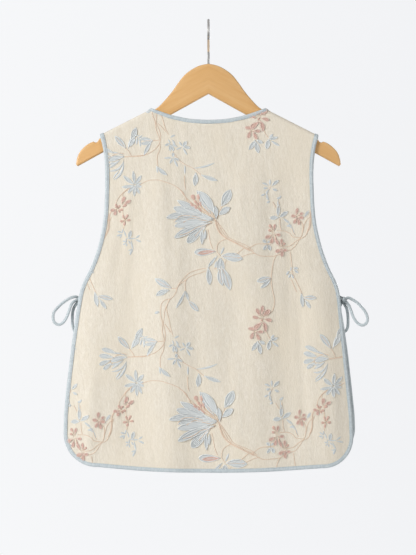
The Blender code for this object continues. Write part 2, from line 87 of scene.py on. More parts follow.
camera = {"place": (-0.75, -3000, -425.1), "shownHeight": 921.3, "sensorHeight": 24}


def makeCamera():
    data = bpy.data.cameras.new("camera")
    data.sensor_fit = "VERTICAL"
    data.sensor_height = camera["sensorHeight"]
    data.lens = camera["sensorHeight"] * abs(camera["place"][1]) / camera["shownHeight"]
    made = addObject("camera", data)
    made.location = Vector(camera["place"]) * mm
    made.rotation_euler = (math.pi / 2, 0, 0)
    bpy.context.scene.camera = made


makeCamera()


# Curves

def unit(vectors):
    return vectors / np.linalg.norm(vectors, axis=-1, keepdims=True)


def hermite(before, start, end, after, t):
    slopeIn, slopeOut = (end - before) / 2, (after - start) / 2
    square = t * t
    cube = square * t
    return ((2 * cube - 3 * square + 1) * start + (cube - 2 * square + t) * slopeIn
            + (3 * square - 2 * cube) * end + (cube - square) * slopeOut)


def lengthsAlong(line):
    steps = np.linalg.norm(np.diff(line, axis=0), axis=1)
    return np.concatenate([[0.0], np.cumsum(steps)])


def sample(line, lengths, wanted):
    return np.stack([np.interp(wanted, lengths, line[:, k]) for k in range(line.shape[1])], axis=1)


def smoothLine(points, step, parts=16):
    # points about a step apart on a smooth curve through the given ones
    points = np.array(points, float)
    last = len(points) - 1
    fine = []
    for index in range(last):
        near = [points[min(max(index + k, 0), last)] for k in (-1, 0, 1, 2)]
        fine += [hermite(*near, part / parts) for part in range(parts)]
    fine = np.array(fine + [points[-1]])
    lengths = lengthsAlong(fine)
    count = max(1, round(lengths[-1] / step))
    return sample(fine, lengths, np.linspace(0, lengths[-1], count + 1))


def arcPoints(centreX, centreHeight, radius, start, end, count=24):
    angles = np.radians(np.linspace(start, end, count + 1))
    return [(centreX + radius * math.cos(a), centreHeight + radius * math.sin(a)) for a in angles]


def joinLines(lines):
    return np.concatenate([lines[0]] + [line[1:] for line in lines[1:]])


def leftOf(headings):
    # the flat direction to the left of each heading
    headings = unit(headings)
    return np.stack([-headings[:, 1], headings[:, 0]], axis=1)


# Materials: shared effects are node groups, made once

def feed(tree, socket, value):
    # a socket takes another node's output or a plain value
    if isinstance(value, bpy.types.NodeSocket):
        tree.links.new(value, socket)
    elif value is not None:
        socket.default_value = value


def addNode(tree, kind, values=(), **settings):
    node = tree.nodes.new("ShaderNode" + kind)
    for key, value in settings.items():
        setattr(node, key, value)
    for key, value in dict(values).items():
        feed(tree, node.inputs[key], value)
    return node


def mathNode(tree, operation, *values):
    return addNode(tree, "Math", enumerate(values), operation=operation).outputs[0]


def splitUp(tree, vector):
    return addNode(tree, "SeparateXYZ", {0: vector}).outputs


def newGroup(name, output, **numbers):
    # takes a vector and some numbers, gives one number
    group = bpy.data.node_groups.new(name, "ShaderNodeTree")
    group.interface.new_socket(name="Vector", in_out="INPUT", socket_type="NodeSocketVector")
    for label, value in numbers.items():
        socket = group.interface.new_socket(name=label, in_out="INPUT", socket_type="NodeSocketFloat")
        socket.default_value = value
    group.interface.new_socket(name=output, in_out="OUTPUT", socket_type="NodeSocketFloat")
    given = group.nodes.new("NodeGroupInput").outputs
    return group, given, group.nodes.new("NodeGroupOutput").inputs[0]


def weaveGroup():
    # crossing threads, as a height; at scale 1 a wave texture has 20 / tau bands a metre
    group, given, out = newGroup("weave", "Height", Count=1400.0)
    scale = mathNode(group, "MULTIPLY", given["Count"], math.tau / 20)
    waves = [
        addNode(group, "TexWave", {"Vector": given["Vector"], "Scale": scale, "Distortion": 1.4,
                                   "Detail": 1.0}, bands_direction=direction).outputs["Fac"]
        for direction in ("X", "Y")
    ]
    feed(group, out, mathNode(group, "MAXIMUM", *waves))
    return group


def streakGroup():
    # soft uneven streaks, stretched along Y of the vector given
    group, given, out = newGroup("streaks", "Value", Across=200.0, Along=40.0, Roughness=0.6)
    parts = splitUp(group, given["Vector"])
    scaled = [mathNode(group, "MULTIPLY", part, given[label])
              for part, label in zip(parts, ("Across", "Along", "Across"))]
    joined = addNode(group, "CombineXYZ", enumerate(scaled)).outputs[0]
    noise = addNode(group, "TexNoise", {"Vector": joined, "Scale": 1.0, "Detail": 4.0,
                                        "Roughness": given["Roughness"]})
    feed(group, out, noise.outputs["Fac"])
    return group


weave = weaveGroup()
streaks = streakGroup()


def newMaterial(name, values):
    made = bpy.data.materials.new(name)
    made.use_nodes = True
    shader = made.node_tree.nodes["Principled BSDF"]
    for key, value in values.items():
        shader.inputs[key].default_value = value
    return made, made.node_tree, shader


def place(tree, uvName=None):
    if uvName:
        return addNode(tree, "UVMap", uv_map=uvName).outputs["UV"]
    return addNode(tree, "TexCoord").outputs["Object"]


def pattern(tree, vector, numbers):
    # streaks across, along and their roughness, or just the threads per metre of a weave
    values = {"Vector": vector, **dict(enumerate(numbers, 1))}
    group = streaks if len(numbers) > 1 else weave
    return addNode(tree, "Group", values, node_tree=group).outputs[0]


def stretch(tree, value, low, high):
    return addNode(tree, "MapRange", {"Value": value, "From Min": low, "From Max": high}).outputs["Result"]


def mixColours(tree, mask, first, second):
    node = addNode(tree, "Mix", {"Factor": mask}, data_type="RGBA")
    for name, value in (("A", first), ("B", second)):
        socket = next(s for s in node.inputs if s.name == name and s.type == "RGBA")
        feed(tree, socket, (*value, 1.0) if isinstance(value, tuple) else value)
    return next(s for s in node.outputs if s.type == "RGBA")


def shadeMix(tree, colour, gap, strength=None):
    # towards the gap's colour, a painted shade, where the mesh carries a shade
    shade = addNode(tree, "Attribute", attribute_name="shade").outputs["Fac"]
    if strength:
        shade = mathNode(tree, "MULTIPLY", shade, strength)
    return mixColours(tree, shade, colour, gap)


def texture(tree, spots, colour, rows):
    # lays each row over a plain colour; see the rows of creamLook
    heights = []
    for spot, numbers, mixed, raised in rows:
        value = pattern(tree, spots[spot], numbers)
        if mixed:
            colour = mixColours(tree, stretch(tree, value, *mixed[:2]), colour, mixed[2])
        if raised:
            heights.append((value, *raised))
    return colour, heights


def dress(tree, shader, colour, heights):
    # heights: value, strength, depth in millimetres
    feed(tree, shader.inputs["Base Color"], colour)
    normal = None
    for value, strength, depth in heights:
        node = addNode(tree, "Bump", {"Strength": strength, "Distance": depth * mm, "Height": value,
                                      "Normal": normal})
        normal = node.outputs["Normal"]
    feed(tree, shader.inputs["Normal"], normal)


creamLook = {
    "shader": {"Roughness": 0.85, "Sheen Weight": 0.06, "Sheen Roughness": 0.5},
    "wander": 0.007, "wanderScale": 55.0,
    "base": (0.793, 0.724, 0.604),
    # where it lies, its pattern, the range and colour mixed in, the bump's strength and depth
    "rows": [
        ("wavy", (95.0, 30.0, 0.5), None, (0.45, 0.9)),
        ("wavy", (250.0, 48.0, 0.62), (0.36, 0.64, (0.872, 0.813, 0.709)), (0.6, 0.6)),
        ("wavy", (430.0, 150.0, 0.7), (0.36, 0.75, (0.744, 0.675, 0.56)), (0.9, 0.55)),
        ("even", (9.0, 5.0, 0.5), (0.45, 0.75, (0.823, 0.741, 0.604)), None),
        ("even", (1500.0,), None, (0.35, 0.08)),
    ],
}


def creamCloth():
    made, tree, shader = newMaterial("cream_jacquard", creamLook["shader"])
    even = place(tree, "cloth")
    drift = addNode(tree, "TexNoise", {"Vector": even, "Scale": creamLook["wanderScale"], "Detail": 2.0})
    wander = addNode(tree, "VectorMath", {0: drift.outputs["Color"], 1: (creamLook["wander"], 0, 0)},
                     operation="MULTIPLY").outputs[0]
    wavy = addNode(tree, "VectorMath", {0: even, 1: wander}, operation="ADD").outputs[0]
    spots = {"even": even, "wavy": wavy}
    dress(tree, shader, *texture(tree, spots, creamLook["base"], creamLook["rows"]))
    return made


tapeLook = {
    "shader": {"Roughness": 0.6, "Sheen Weight": 0.2, "Sheen Roughness": 0.4},
    "base": (0.506, 0.572, 0.60),
    "rows": [
        (0, (110.0, 330.0, 0.55), (0.35, 0.65, (0.605, 0.664, 0.685)), (0.6, 0.5)),
        (0, (1900.0,), None, (0.4, 0.08)),
    ],
    # the painted shade's colour, for the gaps between strands beside a knot
    "gap": (0.05, 0.07, 0.08),
}


def blueTape():
    made, tree, shader = newMaterial("blue_bias_tape", tapeLook["shader"])
    colour, heights = texture(tree, [place(tree, "tape")], tapeLook["base"], tapeLook["rows"])
    # painted shade near the knots, from the mesh's shade attribute
    dress(tree, shader, shadeMix(tree, colour, tapeLook["gap"]), heights)
    return made


threadLook = {
    "shader": {"Roughness": 0.5, "Sheen Weight": 0.1},
    # pattern, range, bump: for a twisted thread, and for stitches laid flat side by side
    "twist": ((260.0, 2400.0, 0.5), (0.35, 0.65), (0.7, 0.25)),
    "satin": ((620.0, 60.0, 0.6), (0.38, 0.6), (0.6, 0.25)),
    "gapStrength": 0.92,
}
threadColours = {  # light, dark, and the painted shade in the gaps between stitches
    "blue_sewing_thread": ((0.50, 0.57, 0.62), (0.40, 0.46, 0.51)),
    "satin_blue": ((0.70, 0.725, 0.725), (0.59, 0.625, 0.63), (0.33, 0.365, 0.375)),
    "satin_rose": ((0.73, 0.51, 0.43), (0.625, 0.41, 0.336), (0.56, 0.37, 0.32)),
    "cord_blue": ((0.80, 0.82, 0.81), (0.735, 0.755, 0.75)),
    "cord_rose": ((0.80, 0.61, 0.545), (0.74, 0.535, 0.47)),
    "cord_peach": ((0.835, 0.67, 0.535), (0.77, 0.59, 0.455)),
}


def threadMaterial(name):
    light, dark, *gap = threadColours[name]
    made, tree, shader = newMaterial(name, threadLook["shader"])
    numbers, span, raised = threadLook["satin" if gap else "twist"]
    spot = place(tree, "stitch" if gap else None)
    colour, heights = texture(tree, [spot], dark, [(0, numbers, (*span, light), raised)])
    if gap:
        # painted shade in the satin's gaps beside cords and along grooves
        colour = shadeMix(tree, colour, gap[0], threadLook["gapStrength"])
    dress(tree, shader, colour, heights)
    return made


# The surface of the hung cloth: tables and formulas as in the solid model

cloth = {
    "wall": 2.0, "rawEdge": 1.2, "seamGap": 0.3, "out": 8.7, "foldRadius": 5.0,
    "neckPoint": 92.4, "neckHeight": -145.6, "slope": 0.508, "tips": (-180.0, 182.4),
    "tipLean": 0.247, "backNeckLean": 1.18, "frontNeckLean": 0.25,
    # how far folds, creases and puckers take to fade out, and the puckers' share at the side edges
    "fade": 90.0, "creaseFade": 50, "edgeFade": 40, "shoulderFade": 30, "puckerFade": 12,
    "edgePuckers": 0.25,
}
foldFlat = cloth["out"] - cloth["foldRadius"] - cloth["seamGap"] / 2
foldArc = cloth["foldRadius"] * math.pi / 2
bendExtra = foldFlat + foldArc - cloth["foldRadius"]

sideEdges = [  # height, then left x and right x of the back and of the fronts
    (-212, -174.6, 177, -174, 178), (-240, -171.3, 173.8, -170.5, 175.2),
    (-286, -171.2, 174.6, -170, 174.6), (-330, -173.8, 177.9, -172.5, 177),
    (-369, -181.4, 186.2, -179, 184.5), (-403, -193, 197.8, -189, 195.5),
    (-436, -208.9, 213.1, -202.5, 210.5), (-459, -215.3, 218.5, -206.6, 216.8),
    (-500, -221.5, 222.5, -214, 224.5), (-554, -228.8, 228.3, -222, 232.3),
    (-620, -236.3, 235, -229.5, 239.8), (-653, -239.2, 238.3, -232.6, 243.1),
]
# corners: centre x, centre height, radius, the angles where the arc starts and ends
backCorners = [(-184.8, -683.0, 55.0, 178, 272), (189.7, -690.0, 50.0, 268, 362)]
frontCorners = {-1: (-183.6, -683.0, 50.0, 270, 178), 1: (192.0, -676.0, 52.0, 270, 362)}
backHem = [(-100, -744.5), (0, -747), (100, -745.3)]
backNeck = [(64, -155.2), (48.4, -158.9), (30, -162.3), (0, -164)]
frontNeck = [(86, -178), (74, -205), (54, -229), (30, -244), (15, -249.5)]
frontCentre = [(2.0, -263), (4.5, -700)]
centreCorner = (34.5, -700, 30.0, 182, 270)
lowerLeft, lowerRight = 225, 315  # angles of the places where a side gives way to the hem
frontHem = (110, -731.0)

standOut = [  # height, distance of the cloth's middle from y = 0 at the side edge, and half way across
    (-190, 8.7, 8.7), (-235, 8.7, 9), (-330, 7.2, 12.5), (-400, 4.8, 15), (-459, 2.9, 17), (-510, 4, 18.5),
    (-620, 6.8, 20.5), (-760, 8.2, 22),
]
halfWidth = [(-190, 181), (-300, 173), (-400, 194), (-459, 217), (-560, 229), (-670, 240), (-760, 240)]

folds = {  # x at the top, x at the foot, top, foot, half width, depth
    -1: [
        (-80, -56, -200, -800, 28, 4.2), (-133, -116, -320, -760, 28, -4),
        (-193, -198, -440, -780, 23, 3.4), (-16, -14, -520, -900, 28, -1.6), (42, 44, -400, -660, 25, -2.6),
        (66, 76, -215, -780, 26, 1.6), (134, 130, -205, -780, 30, -4), (184, 206, -370, -800, 25, 3.4),
    ],
    1: [
        (-112, -122, -230, -620, 30, 3.5), (-60, -48, -300, -900, 26, -3),
        (-172, -180, -500, -900, 26, -2.5), (104, 118, -230, -600, 30, 3.5), (62, 56, -340, -900, 28, -3),
        (160, 178, -520, -900, 26, 2.5),
    ],
}
creases = {  # the same for smaller creases on the folds
    -1: [
        (-66, -58, -235, -400, 9, -1), (-128, -140, -250, -470, 8, 1.1), (-44, -52, -330, -560, 10, 0.9),
        (58, 50, -215, -350, 8, 0.8), (96, 104, -225, -420, 9, -1.1), (117, 123, -300, -520, 8, 0.9),
        (-20, -14, -470, -700, 11, -0.9), (44, 52, -520, -740, 9, 1), (150, 160, -440, -690, 9, -1.1),
        (-132, -140, -520, -740, 10, -1.2), (-190, -200, -560, -745, 8, 1), (205, 214, -560, -740, 8, 1),
        (112, 116, -600, -760, 9, 1.1), (-146, -172, -300, -440, 10, 1), (-24, -30, -190, -330, 10, -0.8),
        (4, 10, -240, -420, 9, 0.7),
    ],
    1: [
        (-88, -84, -260, -450, 9, 1), (-140, -152, -300, -520, 9, -1.1), (-30, -26, -420, -680, 10, 0.9),
        (-106, -98, -500, -740, 10, -1), (-196, -206, -540, -720, 8, 1), (84, 80, -280, -470, 9, -1),
        (136, 148, -290, -500, 9, 1.1), (34, 30, -400, -650, 10, -0.9), (88, 98, -520, -735, 10, 1),
        (206, 214, -540, -720, 8, -0.9),
    ],
}
puckers = [(0.10, 24.0, 120.0, 9), (0.055, 8.5, 36.0, 12), (0.035, 3.8, 12.0, 12)]  # size, wavelengths, count
puckerSpread = {"across": (0.7, 1.5), "down": (0.7, 1.6), "size": (0.8, 1.2)}


def tableColumn(rows, column, height):
    rows = np.array(rows, float)
    last = len(rows) - 1
    at = np.clip(np.searchsorted(-rows[:, 0], -height, side="right") - 1, 0, last - 1)
    t = np.clip((rows[at, 0] - height) / (rows[at, 0] - rows[at + 1, 0]), 0, 1)
    near = [rows[np.clip(at + k, 0, last), column] for k in (-1, 0, 1, 2)]
    return hermite(*near, t)


def smoothStep(value):
    value = np.clip(value, 0, 1)
    return value * value * (3 - 2 * value)


def ridgeHeight(x):
    return cloth["neckHeight"] - cloth["slope"] * (np.abs(x) - cloth["neckPoint"])


def foldOver(along):
    # distance out from the seam and drop below the ridge, along the cloth from the seam
    angle = np.clip((along - foldFlat) / cloth["foldRadius"], 0, math.pi / 2)
    flat = cloth["seamGap"] / 2 + np.minimum(along, foldFlat)
    out = flat + cloth["foldRadius"] * np.sin(angle)
    drop = cloth["foldRadius"] * (1 - np.cos(angle)) + np.maximum(along - foldFlat - foldArc, 0)
    return out, drop


def foldDepth(rows, x, height, fade):
    depth = np.zeros_like(x)
    for topX, footX, top, foot, width, size in rows:
        middle = topX + (footX - topX) * (top - height) / (top - foot)
        ends = smoothStep((top - height) / fade) * smoothStep((height - foot) / fade)
        depth += size * ends * np.exp(-((x - middle) / width) ** 2)
    return depth


def waveRows(seed):
    # the cloth's own fine upright puckers, as many small waves: across, down, phase, size
    random = np.random.default_rng(seed)
    rows = []
    for size, across, down, count in puckers:
        for _ in range(count):
            wide, long = (random.uniform(*puckerSpread[key]) for key in ("across", "down"))
            phase = random.uniform(0, math.tau)
            share = random.uniform(*puckerSpread["size"])
            rows.append((math.tau / (across * wide), math.tau / (down * long), phase,
                         size / math.sqrt(count) * share))
    return rows


puckerWaves = {-1: waveRows(11), 1: waveRows(12)}


def puckerDepth(side, x, height):
    depth = np.zeros_like(x)
    for across, down, phase, size in puckerWaves[side]:
        depth += size * np.sin(x * across + height * down + phase)
    return depth


def clothPoints(side, x, b, detail=True):
    # middle of the cloth, side -1 for the back and +1 for the fronts
    x, b = np.asarray(x, float), np.asarray(b, float)
    ridge = ridgeHeight(x)
    out, drop = foldOver(ridge + bendExtra - b)
    height = ridge - drop
    half = tableColumn(halfWidth, 1, height)
    across = np.minimum(np.abs(x) / half, 1)
    edge, middle = (tableColumn(standOut, column, height) for column in (1, 2))
    reach = edge + (middle - edge) * (1 - across ** 3) - cloth["out"]
    reach += foldDepth(folds[side], x, height, cloth["fade"])
    if detail:
        inner = smoothStep((half - np.abs(x)) / cloth["edgeFade"])
        inner = inner * smoothStep((ridge - height) / cloth["shoulderFade"])
        reach += inner * foldDepth(creases[side], x, height, cloth["creaseFade"])
        share = cloth["edgePuckers"] + (1 - cloth["edgePuckers"]) * inner
        reach += share * smoothStep((ridge - height) / cloth["puckerFade"]) * puckerDepth(side, x, height)
    return np.stack([x, side * (out + reach), height], axis=-1)


def clothNormals(side, x, b, step=0.5):
    across = clothPoints(side, x + step, b, False) - clothPoints(side, x - step, b, False)
    up = clothPoints(side, x, b + step, False) - clothPoints(side, x, b - step, False)
    return unit(np.cross(across, up) if side < 0 else np.cross(up, across))


# Finished edges in pattern coordinates: a place and the direction into the cloth at each station

edgeSteps = {"line": 3.4, "foldSteps": 9, "turn": 6}


def shoulderCrossing(endX, lean, into):
    sign = 1 if endX > 0 else -1
    rows = np.concatenate([[0.0], np.linspace(foldFlat, foldFlat + foldArc, edgeSteps["foldSteps"])])
    places = []
    for along in rows:
        x = endX + sign * lean * foldOver(along)[1]
        places.append((x, ridgeHeight(x) + bendExtra - along))
    return np.array(places), np.array([(sign * into, -cloth["slope"] * into)] * len(rows), float)


def edgeStations(start, points, end):
    line = np.concatenate([start[0][-1:], points, end[0][-1:]])
    inward = leftOf(line[2:] - line[:-2])
    for index in range(min(edgeSteps["turn"], len(inward) // 2)):
        share = (index + 1) / (edgeSteps["turn"] + 1)
        for at, crossing in ((index, start), (-1 - index, end)):
            inward[at] = crossing[1][-1] * (1 - share) + inward[at] * share
    places = np.concatenate([start[0], points, end[0][::-1]])
    return places, np.concatenate([start[1], inward, end[1][::-1]])


def smoothParts(*parts):
    return joinLines([smoothLine(part, edgeSteps["line"]) for part in parts])[1:-1]


def backOuterEdge():
    start, end = (shoulderCrossing(tip, -cloth["tipLean"], -1) for tip in cloth["tips"])
    left = [tuple(start[0][-1])] + [(row[1], row[0]) for row in sideEdges]
    right = [(row[2], row[0]) for row in reversed(sideEdges)] + [tuple(end[0][-1])]
    leftCorner, rightCorner = (arcPoints(*corner) for corner in backCorners)
    line = smoothParts(
        left, [left[-1], leftCorner[0]], leftCorner, [leftCorner[-1]] + backHem + [rightCorner[0]],
        rightCorner, [rightCorner[-1], right[0]], right,
    )
    return edgeStations(start, line, end)


def backNeckEdge():
    start, end = (shoulderCrossing(hand * cloth["neckPoint"], -cloth["backNeckLean"], 1) for hand in (1, -1))
    leftHalf = [(-x, height) for x, height in reversed(backNeck[:-1])]
    line = smoothParts([tuple(start[0][-1])] + backNeck + leftHalf + [tuple(end[0][-1])])
    return edgeStations(start, line, end)


def frontEdge(hand):
    def mirrored(points):
        return [(hand * x, height) for x, height in points]

    neck = shoulderCrossing(hand * cloth["neckPoint"], -cloth["frontNeckLean"], 1)
    tip = shoulderCrossing(cloth["tips"][(hand + 1) // 2], -cloth["tipLean"], -1)
    centreTurn, sideTurn = mirrored(arcPoints(*centreCorner)), arcPoints(*frontCorners[hand])
    side = [(row[(hand + 7) // 2], row[0]) for row in reversed(sideEdges)] + [tuple(tip[0][-1])]
    line = smoothParts(
        [tuple(neck[0][-1])] + mirrored(frontNeck + frontCentre[:1]), mirrored(frontCentre),
        mirrored(frontCentre[-1:]) + centreTurn[:1], centreTurn,
        centreTurn[-1:] + mirrored([frontHem]) + sideTurn[:1], sideTurn, [sideTurn[-1], side[0]], side,
    )
    if hand > 0:
        return edgeStations(neck, line, tip)
    return edgeStations(tip, line[::-1], neck)


edges = {"back": backOuterEdge(), "neck": backNeckEdge(), "left": frontEdge(-1), "right": frontEdge(1)}


def inset(edge, distance):
    return edge[0] + edge[1] * distance


# Swept pieces: a grid whose columns are the section's points and whose rows run along the line

def sweptMesh(name, rings):
    # rings: array of stations by section points by 3, in millimetres
    count, size = rings.shape[:2]
    bm = bmesh.new()
    bmesh.ops.create_grid(bm, x_segments=size, y_segments=count - 1, size=1)
    bm.verts.ensure_lookup_table()
    order = np.arange(size + 1) % size
    for vert, point in zip(bm.verts, rings[:, order].reshape(-1, 3) * mm):
        vert.co = point
    along = lengthsAlong(rings.mean(axis=1)) * mm
    around = lengthsAlong(rings[count // 2][order]) * mm
    uv = bm.loops.layers.uv.new("tape")
    for face in bm.faces:
        for loop in face.loops:
            row, column = divmod(loop.vert.index, size + 1)
            loop[uv].uv = (around[column], along[row])
    bmesh.ops.remove_doubles(bm, verts=bm.verts, dist=1e-7)
    rims = [edge for edge in bm.edges if edge.is_boundary]
    bmesh.ops.holes_fill(bm, edges=rims, sides=0)
    bmesh.ops.recalc_face_normals(bm, faces=bm.faces)
    mesh = bakeMesh(name, bm)
    mesh.attributes.new("shade", "FLOAT", "POINT")
    return mesh


# painted shade beside the knots: its strength, and how much less falls on faces turned up
knotShadePaint = {"level": 0.62, "openAbove": 0.55}


def paintKnotShade(mesh, centre, reach):
    # painted shade: darker undersides where strands crowd together beside a knot
    points, normals = (getValues(mesh.vertices, key, 3) for key in ("co", "normal"))
    away = np.linalg.norm(points / mm - centre, axis=1)
    shade = np.exp(-(away / reach) ** 2) * (knotShadePaint["level"] - knotShadePaint["openAbove"] * normals[:, 2])
    setValues(mesh.attributes["shade"].data, "value", np.clip(shade, 0, 1))


# Side ties: a narrow tape, folded and stitched, that leaves each edge and is tied in a bow

tie = {
    "width": 4.8, "thickness": 3.7, "step": 1.6, "sway": 0.25, "turns": 23, "endSteps": 2.5,
    "endShare": 0.3, "gapReach": 11.0,
}
tieSection = [  # across the tape, through it, as shares of half the width and half the thickness
    (1.0, 0.0), (0.93, 0.45), (0.70, 0.78), (0.36, 0.97), (0.0, 1.0), (-0.28, 0.9), (-0.44, 0.66),
    (-0.6, 0.74), (-0.84, 0.55), (-1.0, 0.15), (-1.0, -0.15), (-0.84, -0.55), (-0.6, -0.74),
    (-0.44, -0.66), (-0.28, -0.9), (0.0, -1.0), (0.36, -0.97), (0.70, -0.78), (0.93, -0.45),
]
knots = {"left": (-213.2, 4.1, -462.0), "right": (224.8, 1.6, -462.4)}
tieRoutes = {
    "back_tie_left": {
        "exit": (-214, -2.6, -460), "length": 0.220,
        "loop": [
            -219.6, 3.6, -457.2, -228.6, 2.6, -458.8, -237.5, 1.4, -464, -244.8, 0.6, -469.6,
            -251.6, 0, -476.4, -255.9, -0.4, -481.8, -257.8, -0.6, -488.6, -257.2, -0.6, -496.4,
            -253.6, -0.4, -501.6, -248.6, 0, -503.3, -243.6, 0.4, -501.6, -239.3, 0.8, -497.4,
            -235.8, 1.2, -491.6, -232.9, 1.6, -484.6, -230.2, 2.2, -476.4, -227, 3, -468.6,
            -222.3, 3.8, -464.4,
        ],
        "tail": [
            -208, 9.8, -467.8, -205.4, 12.6, -475, -203.2, 14, -485, -201.8, 14.6, -496, -201.4, 15, -508,
            -202.2, 15.2, -520, -203.2, 15.4, -530,
        ],
    },
    "front_tie_left": {
        "exit": (-205.5, 3.2, -459), "length": 0.203,
        "loop": [
            -218, 6.8, -467.2, -221.6, 6.8, -471.2, -224.6, 6.8, -477.6, -226.2, 6.8, -485.6,
            -226.4, 7, -494, -226.2, 7.6, -501.6, -225.2, 8.6, -508.4, -223, 10.4, -514.6,
            -219, 12.6, -518.6, -214.6, 13.8, -518, -212.2, 14.2, -512, -211.4, 14.2, -502,
            -211, 13.8, -491, -211.2, 12.6, -481, -211.8, 10.8, -471.8,
        ],
        "tail": [
            -206.8, 10.2, -463, -201, 12.4, -467, -196, 13.4, -473.6, -193.6, 14.6, -483,
            -192.4, 15.4, -494, -192.8, 15.8, -505, -194.2, 16, -514,
        ],
    },
    "back_tie_right": {
        "exit": (217.4, -2.6, -460), "length": 0.209,
        "loop": [
            231.4, 1.2, -458.8, 238, 0.8, -461.2, 247.4, 0.4, -467.3, 253.9, 0, -473.9, 258.5, -0.4, -479.4,
            262.2, -0.6, -486, 264, -0.8, -493.6, 262.4, -0.6, -500.2, 257.2, -0.4, -504.2,
            251.6, 0, -503.4, 247, 0.4, -500.2, 243.2, 0.6, -495.4, 240, 0.8, -489.4, 237.6, 1, -482.7,
            235.2, 1.2, -476.1, 232, 1.4, -469.6,
        ],
        "tail": [
            219.4, 7.8, -463.2, 214.2, 11, -467.8, 210.2, 13.2, -476, 208, 14.4, -487, 207.2, 15, -499,
            207.8, 15.4, -511, 209.2, 15.6, -522,
        ],
    },
    "front_tie_right": {
        "exit": (216.4, 3.2, -459), "length": 0.208,
        "loop": [
            226, 4.4, -469.2, 229, 5.4, -474.6, 230.9, 6.2, -481.2, 231.9, 7, -488.6, 232.3, 7.8, -496.2,
            232.2, 8.8, -503.2, 231.4, 10, -509.2, 228.6, 11.6, -514.2, 223.8, 13.4, -516.2,
            219.6, 14.4, -512.8, 217.8, 14.6, -504.6, 217.4, 14.2, -494, 217.8, 13, -483,
            219.2, 10.8, -473.6, 221, 8.4, -468.6,
        ],
        "tail": [
            219, 6.6, -457.8, 212.8, 9.6, -458, 206, 12.2, -461.8, 201.4, 14, -469.6, 199.2, 15.2, -480,
            198.4, 15.8, -492, 199, 16.2, -503, 200.4, 16.4, -512,
        ],
    },
}


def sectionRings(line, across, through, width, thickness):
    section = np.array(tieSection) * (width / 2, thickness / 2)
    return line[:, None] + across[:, None] * section[None, :, :1] + through[:, None] * section[None, :, 1:]


def tieRings(line, twist):
    # the tape's broad face looks along -Y, turned by the twist
    tangent = unit(np.gradient(line, axis=0))
    across = np.cross(tangent, (0, -1.0, 0))
    across /= np.maximum(np.linalg.norm(across, axis=1, keepdims=True), 1e-6)
    through = np.cross(tangent, across)
    turn = twist[:, None]
    return sectionRings(line, across * np.cos(turn) + through * np.sin(turn),
                        through * np.cos(turn) - across * np.sin(turn), tie["width"], tie["thickness"])


def inThrees(numbers):
    return [tuple(numbers[at:at + 3]) for at in range(0, len(numbers), 3)]


def makeTies(finish):
    for name, route in tieRoutes.items():
        kind, _, hand = name.split("_")
        knot = knots[hand]
        line = smoothLine([route["exit"], knot, *inThrees(route["loop"]), knot, *inThrees(route["tail"])],
                          tie["step"])
        share = np.linspace(0, 1, len(line))
        ends = np.minimum(np.minimum(share, 1 - share) * len(line) / tie["endSteps"], 1) ** 0.5
        rings = tieRings(line, tie["sway"] * np.sin(share * tie["turns"]))
        rings = line[:, None] + (rings - line[:, None]) * np.maximum(ends, tie["endShare"])[:, None, None]
        made = addPiece(name, sweptMesh(name, rings), finish)
        # painted shade between the strands beside the knot
        paintKnotShade(made.data, knot, tie["gapReach"])
        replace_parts(made, f"{kind}_tie_loop_{hand}", f"{kind}_tie_tail_{hand}")


bow = {
    "core": (3.6, 2.9, 3.3), "turnRadii": (3.6, 4.3), "turnWidth": 4.0, "turnThickness": 1.7,
    "lean": 0.35, "steps": 40, "gapReach": 6.0,
    "turns": ((-1.5, 1.0, 1.0), (2.1, 0.88, 1.6)),  # shift, size, share of the lean
}


def bandRings(line, outward):
    # a closed turn of tape whose broad face looks outward
    tangent = np.gradient(line, axis=0)
    tangent[0] = tangent[-1] = line[1] - line[-2]
    tangent = unit(tangent)
    through = unit(outward - tangent * (outward * tangent).sum(1, keepdims=True))
    return sectionRings(line, np.cross(through, tangent), through, bow["turnWidth"], bow["turnThickness"])


def makeKnot(hand, finish):
    # the middle of the bow: two turns of tape round its roots
    centre = np.array(knots[hand])
    bm = bmesh.new()
    bmesh.ops.create_icosphere(bm, subdivisions=3, radius=1.0)
    bmesh.ops.scale(bm, vec=bow["core"], verts=bm.verts)
    bmesh.ops.translate(bm, vec=centre, verts=bm.verts)
    bmesh.ops.scale(bm, vec=(mm, mm, mm), verts=bm.verts)
    bm.loops.layers.uv.new("tape")
    angles = np.linspace(0, math.tau, bow["steps"])
    for shift, size, tilt in bow["turns"]:
        ring = np.stack([np.full(bow["steps"], shift), bow["turnRadii"][0] * size * np.cos(angles),
                         bow["turnRadii"][1] * size * np.sin(angles)])
        lean = bow["lean"] * tilt * (-1 if hand == "left" else 1)
        turned = (np.array(Matrix.Rotation(lean, 3, "Y")) @ ring).T
        mesh = sweptMesh("turn", bandRings(turned + centre, turned))
        bm.from_mesh(mesh)
        bpy.data.meshes.remove(mesh)
    made = addPiece("bow_knot_" + hand, bakeMesh("bow_knot_" + hand, bm), finish)
    # painted shade where the turns crowd round the knot
    paintKnotShade(made.data, centre, bow["gapReach"])
    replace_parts(made, "knot_" + hand)


tapeFinish = blueTape()
for hand in ("left", "right"):
    makeKnot(hand, tapeFinish)
makeTies(tapeFinish)
print("ties tied")


# Panels: a grid spread between a panel's four sides, then laid on the hung surface

panelGrid = {"backColumns": (38, 96, 38), "frontColumns": 84, "rows": 224, "byLength": 0.4}


def stretchOf(line, shares):
    lengths = lengthsAlong(line)
    return sample(line, lengths, shares * lengths[-1])


def levelOf(line, shares):
    # like stretchOf, but shared between length and fall in height
    lengths = lengthsAlong(line)
    fall = (line[0, 1] - line[:, 1]) / (line[0, 1] - line[-1, 1])
    byLength = panelGrid["byLength"]
    mixed = np.maximum.accumulate(byLength * lengths / lengths[-1] + (1 - byLength) * fall)
    mixed += np.linspace(0, 1e-6, len(mixed))
    return sample(line, mixed / mixed[-1], shares)


def acrossRows(left, right, columns):
    # straight rows from edge to edge
    u = np.linspace(0, 1, columns + 1)[None, :, None]
    return left[:, None] * (1 - u) + right[:, None] * u


